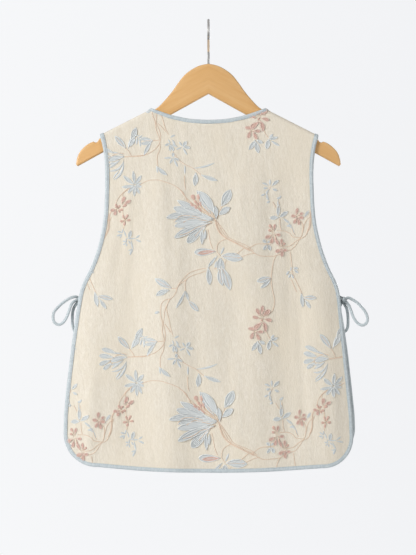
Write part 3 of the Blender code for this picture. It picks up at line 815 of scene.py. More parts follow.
def spread(top, bottom, left, right, shares):
    # each point from its row's and its column's ends, less what the corners count twice
    u = np.linspace(0, 1, len(top))[None, :, None]
    v = shares[:, None, None]
    columns = top[None] * (1 - v) + bottom[None] * v
    corners = (top[0] * (1 - u) + top[-1] * u) * (1 - v) + (bottom[0] * (1 - u) + bottom[-1] * u) * v
    return acrossRows(left, right, len(top) - 1) + columns - corners


def nearest(line, spot):
    return int(np.argmin(np.linalg.norm(line - np.array(spot), axis=1)))


def cornerSpot(corner, angle):
    turn = math.radians(angle)
    return corner[0] + corner[2] * math.cos(turn), corner[1] + corner[2] * math.sin(turn)


def panelMesh(name, side, points, missing):
    # points: rows from the top down, columns from -X to +X; missing marks cells left out
    rows, columns = points.shape[:2]
    flat, gaps = points[::-1], missing[::-1]
    if side > 0:
        flat, gaps = flat[:, ::-1], gaps[:, ::-1]
    mesh = primitive(name, bmesh.ops.create_grid, x_segments=columns - 1, y_segments=rows - 1, size=1)
    flat = flat.reshape(-1, 2)
    setValues(mesh.vertices, "co", clothPoints(side, flat[:, 0], flat[:, 1]) * mm)
    mesh.update()
    corners = getValues(mesh.loops, "vertex_index", kind=np.int32)
    setValues(mesh.uv_layers.new(name="cloth").data, "uv", flat[corners] * mm)
    bm = bmesh.new()
    bm.from_mesh(mesh)
    bm.faces.ensure_lookup_table()
    cells = [bm.faces[index] for index in np.flatnonzero(gaps.ravel())]
    bmesh.ops.delete(bm, geom=cells, context="FACES")
    bm.to_mesh(mesh)
    bm.free()
    return mesh


def makePanel(name, node, side, grid, finish):
    made = addPiece(name, panelMesh(name, side, *grid), finish)
    wall = made.modifiers.new("wall", "SOLIDIFY")
    wall.thickness = cloth["wall"] * mm
    wall.offset = 0
    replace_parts(made, node)


def gridBelow(top, bottom, left, right):
    # the rows that hang below the shoulder's fold
    fold = edgeSteps["foldSteps"]
    shares = np.linspace(0, 1, panelGrid["rows"] - fold + 1)
    foot = stretchOf(bottom, np.linspace(0, 1, len(top)))
    return spread(top, foot, levelOf(left[fold:], shares), levelOf(right[fold:], shares), shares)


def backGrid():
    fold = edgeSteps["foldSteps"]
    raw = inset(edges["back"], cloth["rawEdge"])
    neck = inset(edges["neck"], cloth["rawEdge"])[::-1]
    leftEnd = nearest(raw, cornerSpot(backCorners[0], lowerLeft))
    rightEnd = nearest(raw, cornerSpot(backCorners[1], lowerRight))
    left, bottom, right = raw[:leftEnd + 1], raw[leftEnd:rightEnd + 1], raw[rightEnd:][::-1]
    counts = panelGrid["backColumns"]
    above = np.concatenate([
        acrossRows(left[:fold], neck[:fold], counts[0]),
        acrossRows(neck[:fold], neck[::-1][:fold], counts[1])[:, 1:-1],
        acrossRows(neck[::-1][:fold], right[:fold], counts[2]),
    ], axis=1)
    parts = [np.stack([left[fold], neck[fold]]), neck[fold:-fold], np.stack([neck[-fold - 1], right[fold]])]
    top = joinLines([stretchOf(part, np.linspace(0, 1, n + 1)) for part, n in zip(parts, counts)])
    missing = np.zeros((panelGrid["rows"], sum(counts)), bool)
    missing[:fold, counts[0]:-counts[2]] = True
    return np.concatenate([above, gridBelow(top, bottom, left, right)]), missing


def frontGrid(hand):
    fold = edgeSteps["foldSteps"]
    raw = inset(edges["left" if hand < 0 else "right"], cloth["rawEdge"])
    if hand < 0:
        raw = raw[::-1]
    centreX, centreHeight = cornerSpot(centreCorner, lowerLeft)
    centreEnd = nearest(raw, (hand * centreX, centreHeight))
    sideEnd = nearest(raw, cornerSpot(frontCorners[hand], lowerRight if hand > 0 else lowerLeft))
    inner, bottom, outer = raw[:centreEnd + 1], raw[centreEnd:sideEnd + 1], raw[sideEnd:][::-1]
    columns = panelGrid["frontColumns"]
    above = acrossRows(inner[:fold + 1], outer[:fold + 1], columns)
    points = np.concatenate([above[:-1], gridBelow(above[-1], bottom, inner, outer)])
    return (points if hand > 0 else points[:, ::-1]), np.zeros((panelGrid["rows"], columns), bool)


# Bindings: bias tape turned over each edge, stitched down on both faces

binding = {"width": 6.6, "ripple": 0.045, "swellFrom": 1.9, "inner": (1.0, 1.2), "stitchColumn": 4,
           "waves": (0.71, 0.113, 1.43), "thirdWave": 0.4}
bindingSection = [  # inset from the finished edge, height over the middle of the cloth
    (6.6, 1.3), (6.55, 1.85), (6.2, 2.1), (5.6, 2.0), (5.2, 1.85), (4.8, 2.05), (4.1, 2.35), (3.1, 2.5),
    (2.1, 2.4), (1.2, 2.05), (0.5, 1.4), (0.1, 0.6), (0.0, 0.0),
]
sewing = {
    "pitch": 3.3, "length": 2.1, "radius": 0.27, "lift": 0.16,
    # each stitch: shares of its length, how deep it dips there, its thickness there
    "shares": (0, 0.18, 0.5, 0.82, 1), "dip": (0.3, 0.06, 0, 0.06, 0.3), "taper": (0.6, 1, 1, 1, 0.6),
}


def bindingRings(side, edge):
    insets = (cloth["rawEdge"], binding["width"])
    flat = [inset(edge, distance).T for distance in insets]
    rawPoint, flangePoint = (clothPoints(side, *spots) for spots in flat)
    rawNormal, flangeNormal = (clothNormals(side, *spots) for spots in flat)
    inner, rise = binding["inner"]
    section = bindingSection + [(x, -height) for x, height in reversed(bindingSection[:-1])]
    section += [(inner, -rise), (inner, rise)]
    along = lengthsAlong(rawPoint)
    short, long, fine = (along * wave for wave in binding["waves"])
    ripple = 1 + binding["ripple"] * (np.sin(short) * np.sin(long + 1) + binding["thirdWave"] * np.sin(fine))
    rings = []
    for reach, rise in section:
        t = (reach - insets[0]) / (insets[1] - insets[0])
        normal = rawNormal + (flangeNormal - rawNormal) * min(max(t, 0), 1)
        swell = ripple if abs(rise) > binding["swellFrom"] else np.ones_like(ripple)
        rings.append(rawPoint + (flangePoint - rawPoint) * t + normal * (rise * swell)[:, None])
    return np.stack(rings, axis=1)


def threadsMesh(name, threads, sides=1):
    # threads: (points, radius, closed), in millimetres
    curve = bpy.data.curves.new(name, "CURVE")
    curve.dimensions = "3D"
    curve.bevel_depth = 1.0
    curve.bevel_resolution = sides
    curve.use_fill_caps = True
    for points, radius, closed in threads:
        line = curve.splines.new("POLY")
        line.points.add(len(points) - 1)
        setValues(line.points, "co", np.c_[points, np.ones(len(points))])
        setValues(line.points, "radius", np.broadcast_to(radius, len(points)))
        line.use_cyclic_u = closed
    holder = bpy.data.objects.new(name, curve)
    mesh = bpy.data.meshes.new_from_object(holder)
    bpy.data.objects.remove(holder)
    bpy.data.curves.remove(curve)
    mesh.name = name
    return mesh


def stitchThreads(rings):
    threads = []
    last = len(bindingSection) * 2 - 2
    shares, dip, taper = (np.array(sewing[key]) for key in ("shares", "dip", "taper"))
    for column in (binding["stitchColumn"], last - binding["stitchColumn"]):
        normal = unit(rings[:, column] - rings[:, last - column])
        line = rings[:, column] + normal * sewing["lift"]
        lengths = lengthsAlong(line)
        for start in np.arange(1.0, lengths[-1] - sewing["length"], sewing["pitch"]):
            wanted = start + sewing["length"] * shares
            points = sample(line, lengths, wanted) - sample(normal, lengths, wanted) * dip[:, None]
            threads.append((points, sewing["radius"] * taper, False))
    return threads


seamThreads = {-1: [], 1: []}
for label, node, side in (
    ("back", "back_edge_binding", -1),
    ("neck", "back_neck_binding", -1),
    ("left", "front_binding_left", 1),
    ("right", "front_binding_right", 1),
):
    rings = bindingRings(side, edges[label])
    name = label + "_edge_tape"
    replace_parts(addPiece(name, sweptMesh(name, rings), tapeFinish), node)
    seamThreads[side] += stitchThreads(rings)
stitchFinish = threadMaterial("blue_sewing_thread")
for side, name in ((-1, "back_edge_stitches"), (1, "front_edge_stitches")):
    mesh = threadsMesh(name, seamThreads[side], 0)
    mesh.transform(Matrix.Scale(mm, 4))
    addPiece(name, mesh, stitchFinish)
print("edges bound")


# Embroidery: one repeat of the pattern, charted in squares from the middle of its largest flower,
# then laid over the panels and cut off under their bindings

chart = {
    "square": 1.66,
    "across": (333.0, 5.0),
    "down": (5.0, -332.0),
    "middle": {-1: (10.9, -329.7), 1: (-62.0, -371.0)},
    "reach": 3.0,  # how far inside the finished edge the threads end
    "flowerPetals": 14,  # rows of the largest flower, whose petals lie over one another
}
drifts = {  # places where the repeat lies a little off square: x, b, spread x, spread b, shift x, shift b
    -1: [
        (-95, -150, 40, 45, -10, 0), (-128, -262, 26, 26, 1.7, -5), (-190, -455, 40, 50, -9, 8),
        (152, -225, 45, 45, 24, 0), (165, -560, 50, 28, 6, 0), (200, -608, 50, 30, -8, -6),
        (205, -570, 36, 34, -5, -10), (210, -672, 30, 36, -8, -8), (18, -720, 75, 50, 3, -9),
    ],
    1: [],
}


def filled(rows, look):
    # short rows have no bend, and the look given
    return [(*row, *(0, look)[len(row) - 5:]) for row in rows]


blueLeaves = filled([  # root x, root up, tip x, tip up, width, bend, look
    # largest flower
    (-9, 2, -38, 19.5, 7.4, 2, "full"), (-1, 1, -41.5, 12, 8.6, -6, "broad"),
    (-14, 5, -48.5, 1.8, 6, 24, "hoop"), (-12, 3, -40, -2, 4.6, 12, "hoop"),
    (-2, 0, -40.5, -6.5, 7, 8, "broad"), (-4, -3, -40.5, -18, 7, 20, "hoop"),
    (-9, -6, -27.5, -23, 8.6, 14, "ribbed"), (-13, -9, -13, -24.5, 3.8, 0, "grooved"),
    (-9.5, -10, -10, -20, 2.8), (-4, 6, -18.3, 29.5, 5, -14, "veined"), (-1, 6, -17, 28.5, 8.4, 30, "full"),
    (1, 1, 0, 13.5, 4.2, 20, "full"), (6.3, 13.6, 15.2, 30, 9, 12, "looped"),
    (4, 4.8, 14.8, 12.4, 6, -10, "full"),
    # bud and the leaves under it
    (0.5, -31.5, -20.5, -32.5, 7.6, 0, "broad"), (5.5, -35, 9, -27, 2.4),
    (6, -36, 27.5, -39, 8.6, -8, "veined"), (8, -35.5, 17, -34, 3.4, 0, "grooved"),
    (2, -36, -7, -47.5, 2.8, 8, "grooved"), (-7, -47.5, -5.5, -64.8, 5.6, -6, "looped"),
    (1.5, -41, 0, -48, 2.4), (4.6, -38, 3, -50, 4.8, 0, "grooved"), (5.6, -38, 9, -49.5, 3.4, 0, "grooved"),
    (5, -47.5, 7.5, -65.5, 6.4, 24, "veined"), (6.5, -47, 14.8, -70, 8, -14, "veined"),
    # along the left stem
    (-43.5, -68, -59.5, -58.5, 6.6, -6, "veined"), (-45.5, -70, -58.5, -75.5, 5.4, 22, "looped"),
    (-30, -71, -39, -88, 2.8, -14, "grooved"), (-29.5, -71, -26.5, -80, 2.8, 0, "grooved"),
    (-26.5, -80.5, -16.5, -91, 5.4, 0, "veined"), (-55, -91.5, -60, -93, 3),
    # upper head
    (-83, 79.5, -75.3, 91.9, 5.8, 10, "looped"), (-86.4, 70.5, -82.8, 81.5, 1.9, -10),
    (-86, 72.5, -79, 82, 4.2, 16, "full"), (-80.5, 83.6, -73, 84.2, 1.8), (-78, 82.6, -80, 75.6, 2.2),
    (-75.6, 82.4, -77.4, 74.8, 2.2), (-73.4, 81.8, -73.4, 72.6, 2.3), (-76.4, 81, -69.4, 84, 1.8),
    (-76.5, 79.6, -71, 79.2, 1.6), (-60, 78.6, -73, 81, 4.2, 14, "full"),
    (-62, 77.4, -73, 75.8, 3.4, -14, "looped"), (-61, 79, -70.5, 64.5, 3.4, 14, "looped"),
    # tulip and the leaf over it
    (-101, 66.5, -115.5, 71, 4.4, 20, "broad"), (-104, 63, -118, 64.5, 4.8, 10, "broad"),
    (-107, 60, -118, 55.5, 4.2, 14, "hoop"), (-106, 57.5, -114, 51, 3.8, 0, "broad"),
    (-90.5, 64.2, -107, 67.6, 1.7, 26), (-90.5, 63.2, -106.5, 59.2, 4.8, 22, "broad"),
    (-94, 60.6, -106, 51.6, 2.7), (-99.5, 57.5, -107, 55.4, 2.2), (-91, 60, -106.5, 49, 2.2, -80),
    (-91, 59, -101.5, 40.5, 2.5, -52), (-95.5, 50.5, -101.8, 42, 1.8, 16),
    (-88.5, 71.5, -99.5, 83.5, 5.6, 0, "veined"),
    # star
    (-81.2, 38.6, -82.2, 50.5, 3.4, 0, "looped"), (-80.6, 38.4, -74, 45.8, 3.8, 0, "looped"),
    (-80.2, 37.8, -73.8, 38.6, 2.6), (-80.2, 37, -73.6, 34.4, 3, 0, "grooved"),
    (-80.6, 36.8, -75.4, 27, 3.2, 0, "grooved"), (-81.2, 36.6, -80.6, 24.5, 3.2, 0, "looped"),
    (-81.8, 36.8, -87.2, 28, 3.4, 0, "grooved"), (-81.8, 37.4, -93.6, 34.4, 3.6, -14, "grooved"),
    (-81.8, 38.2, -92.4, 46, 3.8, 0, "looped"), (-58.4, 54, -57, 46.5, 1.8),
    (-58.2, 53.6, -47.6, 44.4, 3.8, 24, "looped"),
    # small flowers
    (-43.7, 82, -38.7, 84.5, 1.9, -16), (-45.5, 80.5, -43.8, 76, 1.5), (-42.4, 80, -40.2, 73, 2.4, -60),
    (-44.4, 76, -49, 74, 2.3, 0, "grooved"), (-44, 75.4, -44.4, 68.5, 2.7, 0, "looped"),
    (-43, 74.6, -41.2, 69, 2.7, 0, "looped"), (-42.4, 75, -37, 73, 2.1), (-40.5, 72, -41.8, 68, 1.9),
    (-31.9, 73.3, -28, 78.2, 3.6, 0, "looped"), (-32.4, 73.3, -35.5, 78, 2.1),
    (-31.7, 72.9, -24.5, 71.5, 3.2, 0, "looped"), (-32, 72.2, -27.6, 64.5, 2.3),
    (-32.5, 72.5, -38.5, 70, 1.8), (-42.2, 62, -50.8, 61.5, 2.1),
    (-41.8, 62.5, -41.4, 67, 2.9, 0, "looped"), (-41.9, 61.5, -45, 56, 2.4, 0, "grooved"),
    (-41.3, 61.8, -35.5, 59.3, 2.5, 0, "looped"), (-41.4, 61.4, -37, 52.5, 2.3),
    # fork on the right of them
    (-30, 55, -30, 45.5, 1.9), (-22.5, 51.5, 0, 57, 2.1, 26), (-14, 45, 2.5, 39, 3.8, 12, "looped"),
    (-19.5, 47, -20.5, 34, 5.4, -22, "looped"),
    # under the rose pair
    (39.5, 79.5, 33.5, 70, 4, -10, "looped"), (40, 78, 42, 66.5, 4.2, 0, "grooved"),
    (41, 79.5, 46, 76.5, 3.6, 0, "full"), (51.5, 80.5, 49, 70.5, 4, 0, "looped"),
    (52, 80, 59, 82.5, 3, 0, "looped"), (52, 81, 55.5, 85.5, 2.8), (53, 79, 59.5, 73.5, 2.6),
    # sprigs up the right
    (53.5, 34, 53, 40.5, 2.2), (55, 34, 60.5, 39.5, 3.2, 0, "looped"), (52, 34, 46, 36.5, 2.2, 40),
    (52, 32, 47.5, 31, 2.4), (56, 31, 60.5, 29, 2.6, 0, "full"), (52, 30, 50.5, 25, 2.4),
    (50, 26, 45.5, 24, 2.2), (51, 26, 52, 20, 2.2, 0, "grooved"), (51, 17, 54.5, 18.5, 2.6),
    (62, 20, 65, 24, 2.2), (64, 22, 61, 21.5, 2.2), (63, 16, 62.5, 4, 3.4, 0, "looped"),
    (63, 2.6, 54.3, 1.6, 4.2, 0, "looped"), (64, 2.8, 72.4, 8.2, 4, 0, "looped"), (68, 1, 73, -3, 2.2, -20),
    (73, -3, 77, -9, 2.2), (76, -6, 71, -6, 2.2), (89, 3, 93, 9, 2.6, 0, "full"),
    (51, -23, 47.5, -20, 3, 0, "full"), (52, -23, 54.5, -21, 2.4), (51.5, -25, 48, -30, 3.2, 0, "grooved"),
    (53, -25, 55, -30.5, 3.6, 0, "looped"), (62.3, 21, 62, 13, 1.1), (54, 33.5, 50.8, 26, 1.1),
    (51, 26, 53.8, 18, 1.1), (67, 2.2, 75, -3.5, 1.2, -16), (75, -3, 79.4, -15.6, 1.1, -10),
    # down the right
    (55.5, -58, 41.5, -61.5, 6, 10, "veined"), (55, -60, 45, -68, 3.6, -12, "looped"),
    (74, -51, 71, -55, 2.6), (75, -51, 76.5, -47, 2.2), (75, -54, 73.5, -58, 2.4),
    (76, -54, 78.5, -58.5, 2.4), (78, -48, 83, -48.5, 2.6, 0, "looped"),
    (79, -50, 83, -53, 2.6, 0, "looped"), (88, -77.5, 101, -78, 4.6, -8, "veined"),
    (90, -80, 95, -88, 3.4, 0, "looped"), (86, -73, 87.5, -87, 4, 0, "grooved"),
    # under the left roses
    (-91.2, -8.5, -93, -13.5, 1.7), (-90.7, -10.5, -88.5, -17, 1.7), (-92, -13.2, -97.2, -11.4, 2.1),
    (-92.5, -14.4, -98.2, -16.2, 2.1), (-92.7, -14.5, -94.6, -18, 1.8),
    (-86, -19, -83.6, -10.8, 3.7, 0, "looped"), (-88.8, -18.5, -79, -18.7, 1.7),
    (-79.4, -18.6, -75, -15.3, 1.8), (-79.4, -19.6, -73.4, -22.2, 2.1, -10),
    (-88.5, -18.2, -88.6, -23, 1.7), (-88.6, -22, -92.2, -21, 1.7), (-88.8, -22.6, -91.6, -25.2, 1.7),
    (-88.5, -23, -88, -26.6, 1.9), (-86.4, -20.6, -84.2, -24, 1.8), (-83.4, -20, -81.4, -29.6, 2, 16),
    (-81.6, -29, -86.2, -30.8, 1.7), (-81.3, -29.4, -84.6, -35.4, 2.4, 40),
], "plain")
slender = 0.82  # the rose petals are sewn narrower than charted
rosePetals = [(*petal[:4], petal[4] * slender, *petal[5:]) for petal in filled([
    (-20.4, 19.4, -23, 25, 5.4, 0, "dash"), (-16.4, 18.4, -16.6, 26, 4.6, 0, "dash"),
    (-20.6, 12.4, -25, 17, 4, 0, "dash"), (-17.4, 10, -21, 14.6, 3.8, 0, "dash"),
    (-18.4, 15.2, -20, 19.4, 3.4, 0, "dash"), (-16.6, 12.4, -18, 17.4, 3.4, 0, "dash"),
    (-14, 12.6, -15, 18.4, 3.6, 0, "dash"), (-13, 8, -17.4, 11.6, 3, 0, "dash"),
    (0, -31.3, -17.5, -33.5, 5, 0, "looped"), (43.4, 105.6, 44, 114.5, 3.8), (41.4, 104.7, 38, 111.5, 4),
    (44.8, 104.4, 51, 110, 5.5), (46.1, 101.2, 53, 99.5, 4.4), (40.9, 101.8, 34.5, 103.5, 3.6),
    (43.9, 101.8, 42.5, 99, 2.1, 0, "dash"), (43.2, 97.6, 35.5, 91.5, 5.5),
    (44.3, 98.4, 46.5, 88.5, 4.6, -60, "looped"), (38.9, 90.9, 30, 92, 4), (38.1, 88.5, 44.5, 88.5, 3.8),
    (35.3, 88.8, 32.5, 81.5, 4), (37.6, 87.8, 41, 80.5, 4), (56.4, -8.8, 54, -4.5, 3.6, 0, "dash"),
    (58.3, -10.4, 59.5, -4.5, 3.2), (56.3, -11.3, 53, -10, 3.2, 0, "dash"), (55.8, -15.7, 50, -18, 4.2),
    (57.2, -17.1, 56, -23.5, 3.8), (59.8, -16.1, 61, -22, 2.7, 0, "dash"), (60.1, -15, 65, -15, 3.6),
    (66, -25.4, 66, -19, 3.2), (67.4, -25.6, 70, -23, 3.2, 0, "dash"), (63.4, -25.8, 60.5, -20, 3.4),
    (65.3, -29.6, 60, -32, 4.4), (66.5, -29.1, 66.5, -36.5, 4), (67.1, -29.9, 71.5, -30.5, 3.4),
    (80.8, 5.6, 82, 11.5, 3.4), (80.9, 3.4, 76, 4, 4), (84, 5, 87.5, 7, 3.4, 0, "looped"),
    (83.1, 2.6, 88, 2, 4), (81.4, 1.8, 78.5, -3.5, 3.6), (82.9, 1.9, 84, -5, 3.6),
    (-93.2, 16.6, -90.2, 23.8, 4), (-90, 16, -84, 20, 4, 0, "looped"),
    (-92.4, 12.8, -88, 15.4, 3.4, 0, "dash"), (-97.5, 11.8, -99.2, 15.8, 3.2, 0, "dash"),
    (-97, 11.4, -94.8, 14.8, 2.8, 0, "dash"), (-98.8, 10, -104.2, 9.4, 3.6), (-98.4, 9.4, -100.2, 4.8, 3.8),
    (-96.4, 9.6, -91.4, 10.2, 3.2, 0, "dash"), (-96.6, 9.2, -94.4, 7.4, 2.4, 0, "dash"),
    (-89.8, 0.2, -86.6, 5.4, 3.2, 0, "dash"), (-90.6, 0.8, -91.8, 4.8, 2.6, 0, "dash"),
    (-88.4, -0.6, -84, -0.2, 3.1, 0, "dash"), (-90.4, -0.8, -94.8, -1.8, 3.1, 0, "dash"),
    (-89.8, -1.4, -90.6, -5.8, 3.2, 0, "dash"),
], "broad")]
roseHearts = [
    (43.5, 102.8), (36.8, 89.6), (57.9, -13.4), (66.2, -27.6), (82.2, 3.6), (-91, 15), (-97.6, 10.4),
    (-89.6, -0.2), (-18.6, 17.6),
]
petalLines = [  # stems that run over the petals of the largest flower, as x and up in turn
    [-40.6, -2, -36, 3.3, -26, 4, -10.6, 1, -3, -0.5],
    [-32, -2.8, -24, 1, -15, 0, -4, -1.7],
    [-35.5, -15.5, -27, -12.8, -18, -7.8, -10.6, -5.8, -3, -2.2],
    [-20, -16.5, -14, -10, -8, -6, -3, -2.6],
]
vines = [  # the other stems
    [-45, -79, -50, -80, -53.5, -84, -54, -89, -53.5, -96, -52, -102, -52.5, -110, -51, -117, -50, -120.5],
    [-45, -79.5, -48, -85, -50, -90, -50.5, -98, -51, -104, -49.5, -112, -49.5, -118, -50, -121],
    [-46, -81, -48, -88, -47, -95, -45.5, -100, -44, -108, -42.5, -113, -42, -115],
    [-50, -104, -47, -108, -44.5, -112],
    [-53, 79.5, -54, 76, -57, 72, -61, 69, -68, 65.5, -76, 64, -83, 63.7, -90, 63.5],
    [-68, 65.2, -76, 63.6, -90, 63],
    [-60, 79, -54, 79.5],
    [-70, 79, -60, 78.8],
    [-53.5, 76, -54, 70, -57, 64, -57.5, 58, -57, 53],
    [-88.5, 71.5, -85.5, 68, -83.5, 64],
    [-90.5, 65.8, -97, 66.2, -103, 63.5, -107.3, 60, -107, 57.6, -104, 56.4],
    [-42, 68, -39, 64, -35, 59, -31, 56, -26, 53, -22.5, 51.5, -18, 48, -14, 45],
    [-30.5, 44, -30.5, 37, -29, 30],
    [-76, 37, -68, 39.5, -61, 40, -55, 39.5, -48, 37, -41, 34, -35, 30, -30, 23.5, -25, 18, -17, 12, -8, 6,
     -1, 0],
    [-38, 32, -32, 27, -27, 18, -20, 14, -10, 9, -1, 0],
    [-14, 14, -9, 9, -4, 5, -0.5, 0],
    [-12, 25, -8, 16, -3, 8, 0, 1],
    [-84, 35.5, -89, 31.5, -94, 26, -98, 19, -99, 12],
    [-85, 34, -92, 27, -91, 20],
    [-103, 9, -105.3, 4, -105.7, -2, -106.6, -10, -109, -16],
    [-92, 12, -91.6, 6, -90, 1],
    [-90.4, -5, -90.8, -9],
    [2, 1, 4, 6, 6, 12, 7.5, 15],
    [0, 0, 1, -6, 4, -12.5, 11, -18.5, 20, -23.5, 30, -28.5, 35, -31],
    [0.5, -1, 3, -8, 7.5, -15, 13, -19, 21, -23, 31, -27.5, 35, -29.5],
    [1, -1, 6, -7, 11, -13.5, 14, -18, 22, -22, 32, -26, 38, -31],
    [0.6, 0, 4, -6.5, 8, -13, 12, -17.6],
    [0, -1, 2, -8, 5.5, -13.5, 12, -18.6],
    [12, -18.8, 20, -23.1, 30, -28.1, 36, -30.6],
    [-22, 20, -18, 15, -12, 8],
    [-15.5, 20, -14.8, 14, -10, 8.5],
    [-19.5, 19.5, -16, 12, -11, 7],
    [13, -18.5, 7, -20.5, 3, -24, 2, -30, 3, -33, 5.5, -36],
    [-7, -9, -6, -16, -5, -22, -2, -29],
    [30, -28, 24, -32, 20, -35],
    [35, -34, 28, -36.5, 22, -38],
    [11, -41, 9, -46],
    [35, -30, 39, -33, 45, -36, 55, -36.5, 61, -35.5, 66, -33, 71, -31, 76, -30, 80, -26, 83, -21, 85,
     -18.5, 89, -17, 92, -13, 94, -7, 95, 0, 97, 6],
    [30, -29, 35, -27.5, 41, -24.5, 48, -24, 55, -24],
    [35, -34, 40, -33],
    [68, -27, 75, -26, 80, -22, 85, -18, 87, -13, 89, -6, 91, -1, 96, 5],
    [85, -18, 77, -17, 75, -14, 69, -11, 61, -11],
    [80, -15.5, 78, -13, 76, -6],
    [87, -12, 88, -6, 86, -1],
    [61, -36, 58, -42, 56.5, -50, 56, -58, 57, -70, 59, -80, 58.5, -87, 56, -92, 51, -96],
    [75, -32, 75.5, -38, 76.5, -45, 77, -52, 80, -59, 82, -64, 84, -68, 87, -74],
    [48, 89, 51, 82],
    [57, 18, 60, 12],
    [64, 1, 64.5, -6, 66, -10],
    [54, 33, 53, 30],
    [63.5, 18, 63, 12],
    [-9, -48.5, -15, -49.5, -21, -51, -26, -53, -30, -57, -33.5, -61, -36, -64.5, -38, -69],
    [-9, -51, -15, -53.5, -21, -55, -26, -57, -29, -59.5, -32, -62, -36, -65.5, -38, -69],
    [-38, -69, -39, -72, -41.5, -76, -45, -79.5],
    [-28, -59, -29.5, -63, -29.5, -70.5],
    [-43, -68.5, -38, -68.5],
    [-124.5, -63, -122, -69, -119, -75],
    [-1, -48.5, 4, -48.5],
]
pairedVine = 19  # the row of vines drawn as two strands with cross threads between them
roundLooks = ("broad", "hoop", "ribbed", "dash")
cordless = ("plain", "dash")
petalShapes = {"round": (0.66, 0.5), "pointed": (0.56, 0.75)}  # where it is widest, how its ends narrow
satin = {
    "across": 10, "along": 12, "fill": 0.6, "plain": 1.1, "steepest": 0.34, "sunk": -0.15, "crown": 0.55,
    "ends": (0.03, 0.97), "endPower": 0.35, "lean": 0.12,
    # where the cord ends and the fill starts, across a petal's half width
    "cordRoom": 1.6, "leastCord": 0.35, "plainCord": 0.85, "leastFill": 0.5, "gap": 1.1,
    # how dark the painted shade in the gaps and grooves is, and how far they sink
    "plainShade": 0.4, "shadeDrop": 0.6, "grooveWidth": 0.95, "grooveDrop": 0.8, "grooveShade": 0.65,
    "ribShade": 0.45, "slimFrom": 5.5, "slimPower": 1.6,
}
cords = {
    "span": (0.02, 0.985, 13), "overlap": 0.7, "least": 0.15, "slimmest": 0.42, "fullWidth": 12,
    "innerFrom": 4.4, "innerShare": 0.42, "innerSize": 0.62,
    "ribs": (-0.66, -0.33, 0, 0.33, 0.66), "ribSize": 0.75, "ribLift": 0.1,
    "veinSpan": (0.0, 0.86, 9), "veinLift": 0.12,
}
stamens = {"reach": 5, "inward": 0.4, "outward": 0.35, "heights": (0.6, 0.9, 1.3)}
knotRing = {"count": 5, "radius": 1.2, "knot": [[0, 0, 0.3], [0.25, 0.1, 0.75], [0.5, 0, 0.3]]}
stems = {
    "wander": 0.35, "wanderWave": 7, "pairWave": 30, "closest": 0.3, "endRate": 6, "endLeast": 0.1,
    "crossHeight": 0.3, "crossSize": 0.8,
}
threadSizes = {
    "outline": 0.82, "vein": 0.34, "vine": 0.5, "vineGap": 1.4, "lift": 0.5, "heart": 0.42, "over": 0.35,
    "layer": 0.5, "low": 0.22, "above": 0.22, "step": 3.2,
}
layers = {petal: threadSizes["layer"] * (spot % 3)
          for spot, petal in enumerate(blueLeaves[:chart["flowerPetals"]])}


def petalLine(petal, t):
    # middle line from root to tip, bowed by the bend's angle
    x0, up0, x1, up1, _, bend, _ = petal
    chord = np.array([x1 - x0, up1 - up0])
    bow = math.tan(math.radians(bend) / 4) * 2 * t * (1 - t)
    side = np.array([-chord[1], chord[0]])
    spots = np.array([x0, up0]) + chord * t[:, None] - side * bow[:, None]
    return spots * chart["square"]


def petalFrame(petal, t):
    aside = leftOf(petalLine(petal, t + 0.02) - petalLine(petal, t - 0.02))
    peak, power = petalShapes["round" if petal[6] in roundLooks else "pointed"]
    shape = np.sin(math.pi * np.clip(t, 0, 1) ** (math.log(0.5) / math.log(peak))) ** power
    return petalLine(petal, t), aside, petal[4] * chart["square"] / 2 * shape


def cordSize(petal):
    return threadSizes["outline"] * min(1, cords["slimmest"] + petal[4] / cords["fullWidth"])


def atHeight(line, height):
    return np.c_[line, np.broadcast_to(height, len(line))]


def outlineThreads(petal):
    # the raised cords of one petal: its edge, and what its look adds inside
    look = petal[6]
    if look in cordless:
        return []
    middle, aside, half = petalFrame(petal, np.linspace(*cords["span"]))
    size = cordSize(petal)
    edge = aside * np.maximum(half - size * cords["overlap"], cords["least"])[:, None]
    high = threadSizes["lift"] + layers.get(petal, 0)
    threads = [(atHeight(np.concatenate([middle + edge, (middle - edge)[::-1]]), high), size, True)]
    if look in ("looped", "hoop") and petal[4] > cords["innerFrom"]:
        near = edge[1:-1] * cords["innerShare"]
        inner = np.concatenate([middle[1:-1] + near, (middle[1:-1] - near)[::-1]])
        threads.append((atHeight(inner, high), size * cords["innerSize"], False))
    if look == "ribbed":
        for share in cords["ribs"]:
            rib = atHeight((middle + edge * share)[1:-2], high + cords["ribLift"])
            threads.append((rib, size * cords["ribSize"], False))
    return threads


def veinThread(petal):
    middle = petalLine(petal, np.linspace(*cords["veinSpan"]))
    height = satin["fill"] + cords["veinLift"] + layers.get(petal, 0)
    return atHeight(middle, height), threadSizes["vein"], False


def heartThreads(heart):
    # a ring of knots with a stamen running into each petal round it
    centre = np.array(heart, float)
    threads = []
    for petal in rosePetals:
        root, tip = np.array(petal[0:2]), np.array(petal[2:4])
        if np.linalg.norm(root - centre) < stamens["reach"]:
            ends = [root + (centre - root) * stamens["inward"], root, root + (tip - root) * stamens["outward"]]
            line = np.c_[np.stack(ends) * chart["square"], stamens["heights"]]
            threads.append((line, threadSizes["vein"], False))
    for angle in np.linspace(0, math.tau, knotRing["count"], endpoint=False) + heart[0]:
        aside = knotRing["radius"] * np.array([math.cos(angle), math.sin(angle)])
        knot = np.array(knotRing["knot"]) + (*(centre + aside) * chart["square"], 0)
        threads.append((knot, threadSizes["heart"], False))
    return threads


